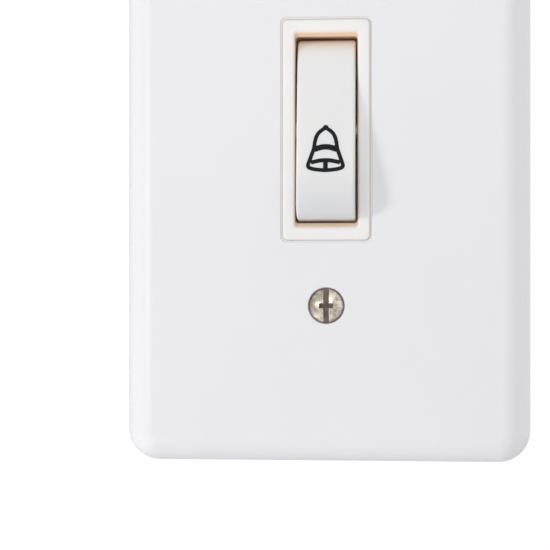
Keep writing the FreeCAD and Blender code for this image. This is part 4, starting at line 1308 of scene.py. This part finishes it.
@dataclass
class Strap(SubAssembly):
    """The strap with its rivets, box screws and their fibre retainers."""

    middle: Pair = (27.0, 55.0)
    neck: float = 15.0
    ear: Pair = (33.0, 17.0)
    corner: float = 2.0
    rear: float = -0.1
    window: Pair = (15.4, 38.3)
    collar: Pair = (2.7, 1.4)
    thread_hole: float = 1.75
    screw_height: float = 30.15
    slot: Pair = (9.0, 3.8)
    box_height: float = 41.65
    rivet_height: float = 23.4
    rivet_hole: float = 1.55
    edge_break: float = 0.15
    groove_across: float = 10.5
    groove_half: float = 0.35
    groove_reach: float = 9.0
    ear_hole: float = 1.6
    ear_hole_spread: float = 1.3
    ear_hole_drop: float = 4.5
    rivet_head: Profile = ((1.0, 0.0), (1.6, 0.08), (2.0, 0.3), (2.2, 0.62), (2.2, 0.7), (1.5, 0.7))
    rivet_tail: Profile = ((1.5, -0.7), (2.15, -0.7), (2.2, -0.5), (2.0, -0.15), (1.6, 0.0), (1.2, -0.1),
                           (0.8, -0.6), (0.75, -1.8))
    pan_depth: float = 1.9
    pan_crown: Profile = ((1.2, 0.0), (1.9, 0.06), (2.5, 0.24), (2.95, 0.6), (3.15, 1.05), (3.2, 1.5))
    pan_rim: Profile = ((3.2, -0.08), (3.1, 0.0), (1.5, 0.0), (1.5, 2.6), (1.24, 2.8))
    box_thread: Point = (1.7, 1.24, 0.794)
    box_slot: Pair = (0.475, 1.25)
    slit: Pair = (2.6, 0.12)

    def build(self) -> list[bpy.types.Object]:
        """The strap first, then what is fixed to it."""
        return [self.blank(), self.rivets(), self.box_screws(), self.retainers()]

    def blank(self) -> bpy.types.Object:
        """The pressed blank with its window, slots, drawn collars and snap-off grooves.

        Returns:
            The strap.
        """
        low, high = span("mounting_strap")
        front, top = low.y, high.z
        strap = Workpiece.block("strap_blank", (-self.middle[0] / 2, front, -self.middle[1] / 2),
                                (self.middle[0] / 2, self.rear, self.middle[1] / 2))
        strap.weld(Workpiece.block("neck", (-self.neck / 2, front, 1 - top),
                                   (self.neck / 2, self.rear, top - 1)))
        for side in (1, -1):
            ends = sorted((side * (top - self.ear[1]), side * top))
            strap.weld(Workpiece.block("ear", (-self.ear[0] / 2, front, ends[0]),
                                       (self.ear[0] / 2, self.rear, ends[1])))
        strap.merge_flats()
        strap.round_edges(along_y, self.corner, 8)
        strap.round_edges(lambda first, last: level(front)(first, last) or level(self.rear)(first, last),
                          self.edge_break, 2)
        tools = [panel("window_tool", *self.window, front - 1, 1, 0.9)]
        for side in (1, -1):
            up = side * self.screw_height
            strap.weld(Workpiece.turned("collar", [(self.collar[0], front + 0.5), (self.collar[0], 1.15),
                                                   (self.collar[0] - 0.25, self.collar[1])], up))
            tools.append(Workpiece.turned("thread_tool", [(2.05, front - 0.3), (self.thread_hole, front + 0.15),
                                                          (self.thread_hole, 3)], up))
            tools.append(Workpiece.rod("rivet_tool", self.rivet_hole, *THROUGH, (0, side * self.rivet_height)))
            tools.append(panel("slot_tool", *self.slot, *THROUGH, self.slot[1] / 2 - 0.01,
                               (0, side * self.box_height)))
            for across in (-self.groove_across, self.groove_across):
                tools.append(self.groove(across, front, side * (top - self.ear[1] / 2)))
                tools.append(Workpiece.rod("ear_hole", self.ear_hole, *THROUGH, (
                    across * self.ear_hole_spread, side * (top - self.ear_hole_drop))))
        strap.cut(*tools)
        return strap.finish(GALVANISED, "base", "zinc_strap", "mounting_strap")

    def groove(self, across: float, front: float, up: float) -> Workpiece:
        """A V-shaped tool for the groove along which a plaster ear snaps off.

        Args:
            across: the groove's X.
            front: the depth of the strap's front.
            up: the height of its middle.

        Returns:
            The tool.
        """
        half, reach = self.groove_half, self.groove_reach
        tool = Workpiece.block("groove", (across - half, front - half, up - reach),
                               (across + half, front + half, up + reach))
        tool.pick_faces(rearward)
        bpy.ops.transform.resize(value=(0.05, 1, 1), center_override=(across, front, up))
        return tool

    def rivets(self) -> bpy.types.Object:
        """Two rivets with low heads and tails rolled over a hollow end.

        Returns:
            The two as one piece.
        """
        low, high = span("strap_rivets")
        rivet = Workpiece.turned("rivet", shifted(self.rivet_head, low.y) + shifted(self.rivet_tail, high.y),
                                 self.rivet_height, sides=40)
        return rivet.join(rivet.twin("rivet_lower", (1, 1, -1))).finish(
            RIVET_STEEL, "base", "rivet_steel", "strap_rivets")

    def box_screws(self) -> bpy.types.Object:
        """Two long pan-head screws with a slot, plain neck and rolled thread.

        Returns:
            The two as one piece.
        """
        low, high = span("box_screws")
        rim = low.y + self.pan_depth
        outer, root, pitch = self.box_thread
        half, deep = self.box_slot
        screw = Workpiece.turned("box_screw", shifted(self.pan_crown, low.y) + shifted(self.pan_rim, rim)
                                 + [(root, high.y - 1.5)])
        screw.weld(Workpiece.threaded("thread", outer, root, rim + 2.4, high.y, pitch))
        screw.cut(Workpiece.block("slot_tool", (-4, low.y - 1, -half), (4, low.y + deep, half)))
        return screw.pair((0, 0, self.box_height), (0, 0, -self.box_height)).finish(
            ZINC_SCREW, "base", "zinc_screw", "box_screws")

    def retainers(self) -> bpy.types.Object:
        """Two die-cut squares, each slit crosswise from its hole.

        Returns:
            The two as one piece.
        """
        low, high = span("screw_retainers")
        square = panel("retainer", high.x - low.x, high.x - low.x, low.y, high.y, 0.5, (0, self.box_height))
        reach, half = self.slit
        square.cut(Workpiece.rod("hole_tool", 1.55, -2, 2, (0, self.box_height)),
                   *(Workpiece.block("slit_tool", (-wide, -2, self.box_height - tall),
                                     (wide, 2, self.box_height + tall))
                     for wide, tall in ((reach, half), (half, reach))))
        return square.join(square.twin("retainer_lower", (1, 1, -1))).finish(
            FIBRE, "base", "fibre", "screw_retainers")


@dataclass
class Housing(SubAssembly):
    """The rear moulding, with panels, wire entries and gate marks on its outside."""

    recess: Pair = (15.0, 7.0)
    recess_depth: float = 0.4
    recess_corner: float = 0.8
    recess_height: float = -14.5
    gauge: Pair = (1.2, 12.0)
    gauge_height: float = 9.5
    pin_mark: float = 1.4
    pin_places: tuple[Pair, ...] = ((-9.0, -3.0), (9.0, -3.0), (-9.0, 17.3), (9.0, 17.3))
    gate: float = 0.9
    gate_height: float = -4.2
    grip_across: float = 12.0
    grip_heights: tuple[float, ...] = (-16.0, -12.0, -8.0, -4.0)
    grip_depth: float = 0.3
    grip_half: float = 0.5
    edge_break: float = 0.12

    def build(self) -> list[bpy.types.Object]:
        """The CAD shape with the moulder's details cut into it.

        Returns:
            The housing.
        """
        low, high = span("switch_housing")
        housing = Workpiece.copied("housing_moulding", "switch_housing")
        rear = high.y
        housing.cut(
            panel("recess_tool", *self.recess, rear - self.recess_depth, rear + 1, self.recess_corner,
                  (0, self.recess_height)),
            panel("gauge_tool", *self.gauge, rear - 0.35, rear + 1, 0.5, (0, self.gauge_height)),
            *(Workpiece.rod("pin_mark", self.pin_mark, rear - 0.15, rear + 1, place, sides=24)
              for place in self.pin_places),
            Workpiece.rod("gate_tool", self.gate, rear - 0.3, rear + 1, (0, self.gate_height), sides=24))
        for side in (1, -1):
            middle = side * self.grip_across
            housing.cut(*(Workpiece.block("grip_tool", (middle - self.grip_depth, low.y + 5, up - self.grip_half),
                                          (middle + self.grip_depth, rear - 2.2, up + self.grip_half))
                          for up in self.grip_heights))
        housing.soften(self.edge_break)
        return [housing.finish(GREY_NYLON, "base", "grey_housing", "switch_housing")]


@dataclass(frozen=True)
class Spring:
    """One compression spring, with the name of the joint that presses it, which is not used.

    The anchor is the depth of its seated end in metres and keep the share of its length left at the joint's
    limit, neither of them used; the turns include one closed turn at each end.
    """

    node: str
    name: str
    body: str
    joint: str
    anchor: float
    keep: float
    radius: float
    wire: float
    turns: int


RETURN_SPRING = Spring("return_spring", "return_coil", "base", "carrier_slide", 0.0165, 0.742, 2.7, 0.5, 6)
CONTACT_SPRING = Spring("contact_spring", "contact_coil", "carrier", "bridge_slide", 0.0032748, 0.827, 1.5, 0.4, 4)


@dataclass
class SwitchGear(SubAssembly):
    """Carrier, bridge, contacts and the two springs."""

    centre: Pair = (0.0, -9.355)
    turn_points: int = 12

    def build(self) -> list[bpy.types.Object]:
        """The springs as wound wire, and the small parts with broken edges.

        Returns:
            The six pieces.
        """
        made = []
        for node, name, look, body, slot, edge in (
                ("contact_carrier", "carrier_moulding", ACETAL, "carrier", "carrier_plastic", 0.12),
                ("contact_bridge", "bridge_strip", BRASS, "bridge", "contact_brass", 0.06),
                ("bridge_contacts", "bridge_buttons", SILVER, "bridge", "contact_silver", 0.05),
                ("fixed_contacts", "fixed_buttons", SILVER, "base", "contact_silver", 0.05)):
            piece = Workpiece.copied(name, node).soften(edge)
            made.append(piece.finish(look, body, slot, node))
        return made + [self.coil(RETURN_SPRING), self.coil(CONTACT_SPRING)]

    def coil(self, spring: Spring) -> bpy.types.Object:
        """Winds a spring with closed ends.

        Args:
            spring: its facts.

        Returns:
            The spring.
        """
        low, high = span(spring.node)
        start, end = low.y + spring.wire / 2, high.y - spring.wire / 2
        # The smoothed route cuts inside its control points, so these stand out by half of that.
        swell = spring.radius / math.cos(math.pi / self.turn_points) ** 0.5
        route = []
        for step in range(spring.turns * self.turn_points + 1):
            turn = step / self.turn_points
            open_share = min(max((turn - 1) / (spring.turns - 2), 0), 1)
            closed = spring.wire * (min(turn, 1) + max(turn - spring.turns + 1, 0))
            angle = 2 * math.pi * turn
            route.append((self.centre[0] + swell * math.cos(angle), start + closed + open_share * (
                end - start - 2 * spring.wire), self.centre[1] + swell * math.sin(angle)))
        made = Workpiece.wire_along(spring.name, route, spring.wire).finish(
            SPRING_WIRE, spring.body, "spring_steel", spring.node)
        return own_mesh(made)


@dataclass
class Terminals(SubAssembly):
    """Terminal blades, clamp plates and terminal screws."""

    across: float = 6.0
    height: float = 8.5
    head_radius: float = 2.6
    head: float = 1.9
    tip: Profile = ((1.0, 0.6),)
    neck: Profile = ((1.0, -0.35), (1.3, -0.05))
    # Each ring of the head: how much smaller than the head's radius, and its depth.
    rim_rings: Profile = ((0.1, 0.0), (0.0, 0.1))
    crown_rings: Profile = ((0.0, -0.7), (0.12, -0.4), (0.45, -0.12), (0.9, 0.0))
    thread: Point = (1.5, 1.1, 0.6)
    slot: Pair = (0.4, 1.1)

    def build(self) -> list[bpy.types.Object]:
        """The blades and clamps from the CAD shapes, and new screws.

        Returns:
            The four pieces.
        """
        made = []
        for node, name in (("terminal_right", "blade_right"), ("terminal_left", "blade_left")):
            made.append(Workpiece.copied(name, node).soften(0.08).finish(BRASS, "base", "contact_brass", node))
        made.append(Workpiece.copied("clamp_pair", "clamp_plates").soften(0.1).finish(
            CLAMP_STEEL, "base", "clamp_steel", "clamp_plates"))
        made.append(self.screws())
        return made

    def screws(self) -> bpy.types.Object:
        """Two slotted screws with fine threads, heads to the rear.

        Returns:
            The two as one piece.
        """
        low, high = span("terminal_screws")
        rim = high.y - self.head
        outer, root, pitch = self.thread
        half, deep = self.slot
        profile = shifted(self.tip, low.y) + shifted(self.neck, rim)
        for rings, start in ((self.rim_rings, rim), (self.crown_rings, high.y)):
            profile += [(self.head_radius - less, start + depth) for less, depth in rings]
        screw = Workpiece.turned("terminal_screw", profile)
        screw.weld(Workpiece.threaded("thread", outer, root, low.y, rim - 0.3, pitch))
        screw.cut(Workpiece.block("slot_tool", (-4, high.y - deep, -half), (4, high.y + 1, half)))
        return screw.pair((self.across, 0, self.height), (-self.across, 0, self.height)).finish(
            TERMINAL_STEEL, "base", "terminal_screw_steel", "terminal_screws")


@dataclass
class Studio:
    """Pale floor, soft lights and the camera."""

    azimuth: float = 5.0
    aim: Point = (-9.34, 0.0, -24.9)
    distance: float = 300.0
    lens: float = 112.1
    floor_height: float = -0.32
    floor_radius: float = 1.1
    sky: float = 0.71
    lean: float = 0.25
    backdrop: float = 1.02

    def build(self) -> None:
        """Sets the stage."""
        self.world()
        self.floor()
        self.lamp("side_light", (-0.61, -0.32, -0.06), 0.10, 1.9).visible_glossy = False
        self.lamp("key_light", (-0.40, -0.62, 0.02), 0.22, 0.30)
        self.lamp("front_light", (0.05, -0.9, 0.35), 0.60, 0.80)
        self.camera()
        bpy.context.scene.view_settings.view_transform = "Standard"

    def world(self) -> None:
        """White all round: full to the eye, softer as light, and a little less of it from the left."""
        world = bpy.data.worlds.new("studio_white")
        world.use_nodes = True
        tree = world.node_tree
        path = add_node(tree, "ShaderNodeLightPath")
        way = add_node(tree, "ShaderNodeTexCoord").outputs["Generated"]
        side = add_node(tree, "ShaderNodeSeparateXYZ", links={0: way}).outputs["X"]
        light = add_node(tree, "ShaderNodeMapRange", {"From Min": -1.0, "From Max": 1.0,
                                                      "To Min": self.sky - self.lean,
                                                      "To Max": self.sky + self.lean}, {"Value": side})
        power = add_node(tree, "ShaderNodeMapRange", {"To Max": self.backdrop},
                         {"Value": path.outputs["Is Camera Ray"], "To Min": light.outputs["Result"]})
        sky = tree.nodes["Background"]
        sky.inputs["Color"].default_value = (1.0, 1.0, 1.0, 1.0)
        tree.links.new(power.outputs["Result"], sky.inputs["Strength"])
        bpy.context.scene.world = world

    def floor(self) -> None:
        """A pale round floor well below the part."""
        deselect()
        bpy.ops.mesh.primitive_circle_add(vertices=96, radius=self.floor_radius, fill_type="NGON",
                                          location=(0, 0, self.floor_height))
        floor = Workpiece(bpy.context.object, "floor").settle()
        floor.made.data.materials.append(FLOOR_PAINT.material())

    def lamp(self, name: str, spot: Point, size: float, power: float) -> bpy.types.Object:
        """A square soft light that faces the part.

        Args:
            name: its name.
            spot: its place, in metres.
            size: its side, in metres.
            power: its power in watts.

        Returns:
            The light.
        """
        light = bpy.data.lights.new(name, "AREA")
        light.size, light.energy = size, power
        lamp = bpy.data.objects.new(name, light)
        lamp.location = spot
        lamp.rotation_euler = (-Vector(spot)).to_track_quat("-Z", "Y").to_euler()
        bpy.context.scene.collection.objects.link(lamp)
        return lamp

    def camera(self) -> None:
        """A level camera, a little to the right."""
        turn = math.radians(self.azimuth)
        back = Vector((math.sin(turn), -math.cos(turn), 0.0))
        camera = bpy.data.objects.new("camera", bpy.data.cameras.new("camera"))
        camera.data.lens = self.lens
        camera.data.clip_start, camera.data.clip_end = 0.01, 10.0
        camera.location = (Vector(self.aim) + back * self.distance) * MM
        camera.rotation_euler = (-back).to_track_quat("-Z", "Y").to_euler()
        bpy.context.scene.collection.objects.link(camera)
        bpy.context.scene.camera = camera


def main() -> None:
    """Builds the stage and every sub-assembly."""
    logging.basicConfig(level=logging.INFO, format="%(message)s")
    Studio().build()
    for group in (CoverPlate(), PlateScrews(), Bezel(), Rocker(), Strap(), Housing(), SwitchGear(), Terminals()):
        pieces = group.build()
        LOG.info("%s: %s", type(group).__name__, ", ".join(piece.name for piece in pieces))


if __name__ == "__main__":
    main()
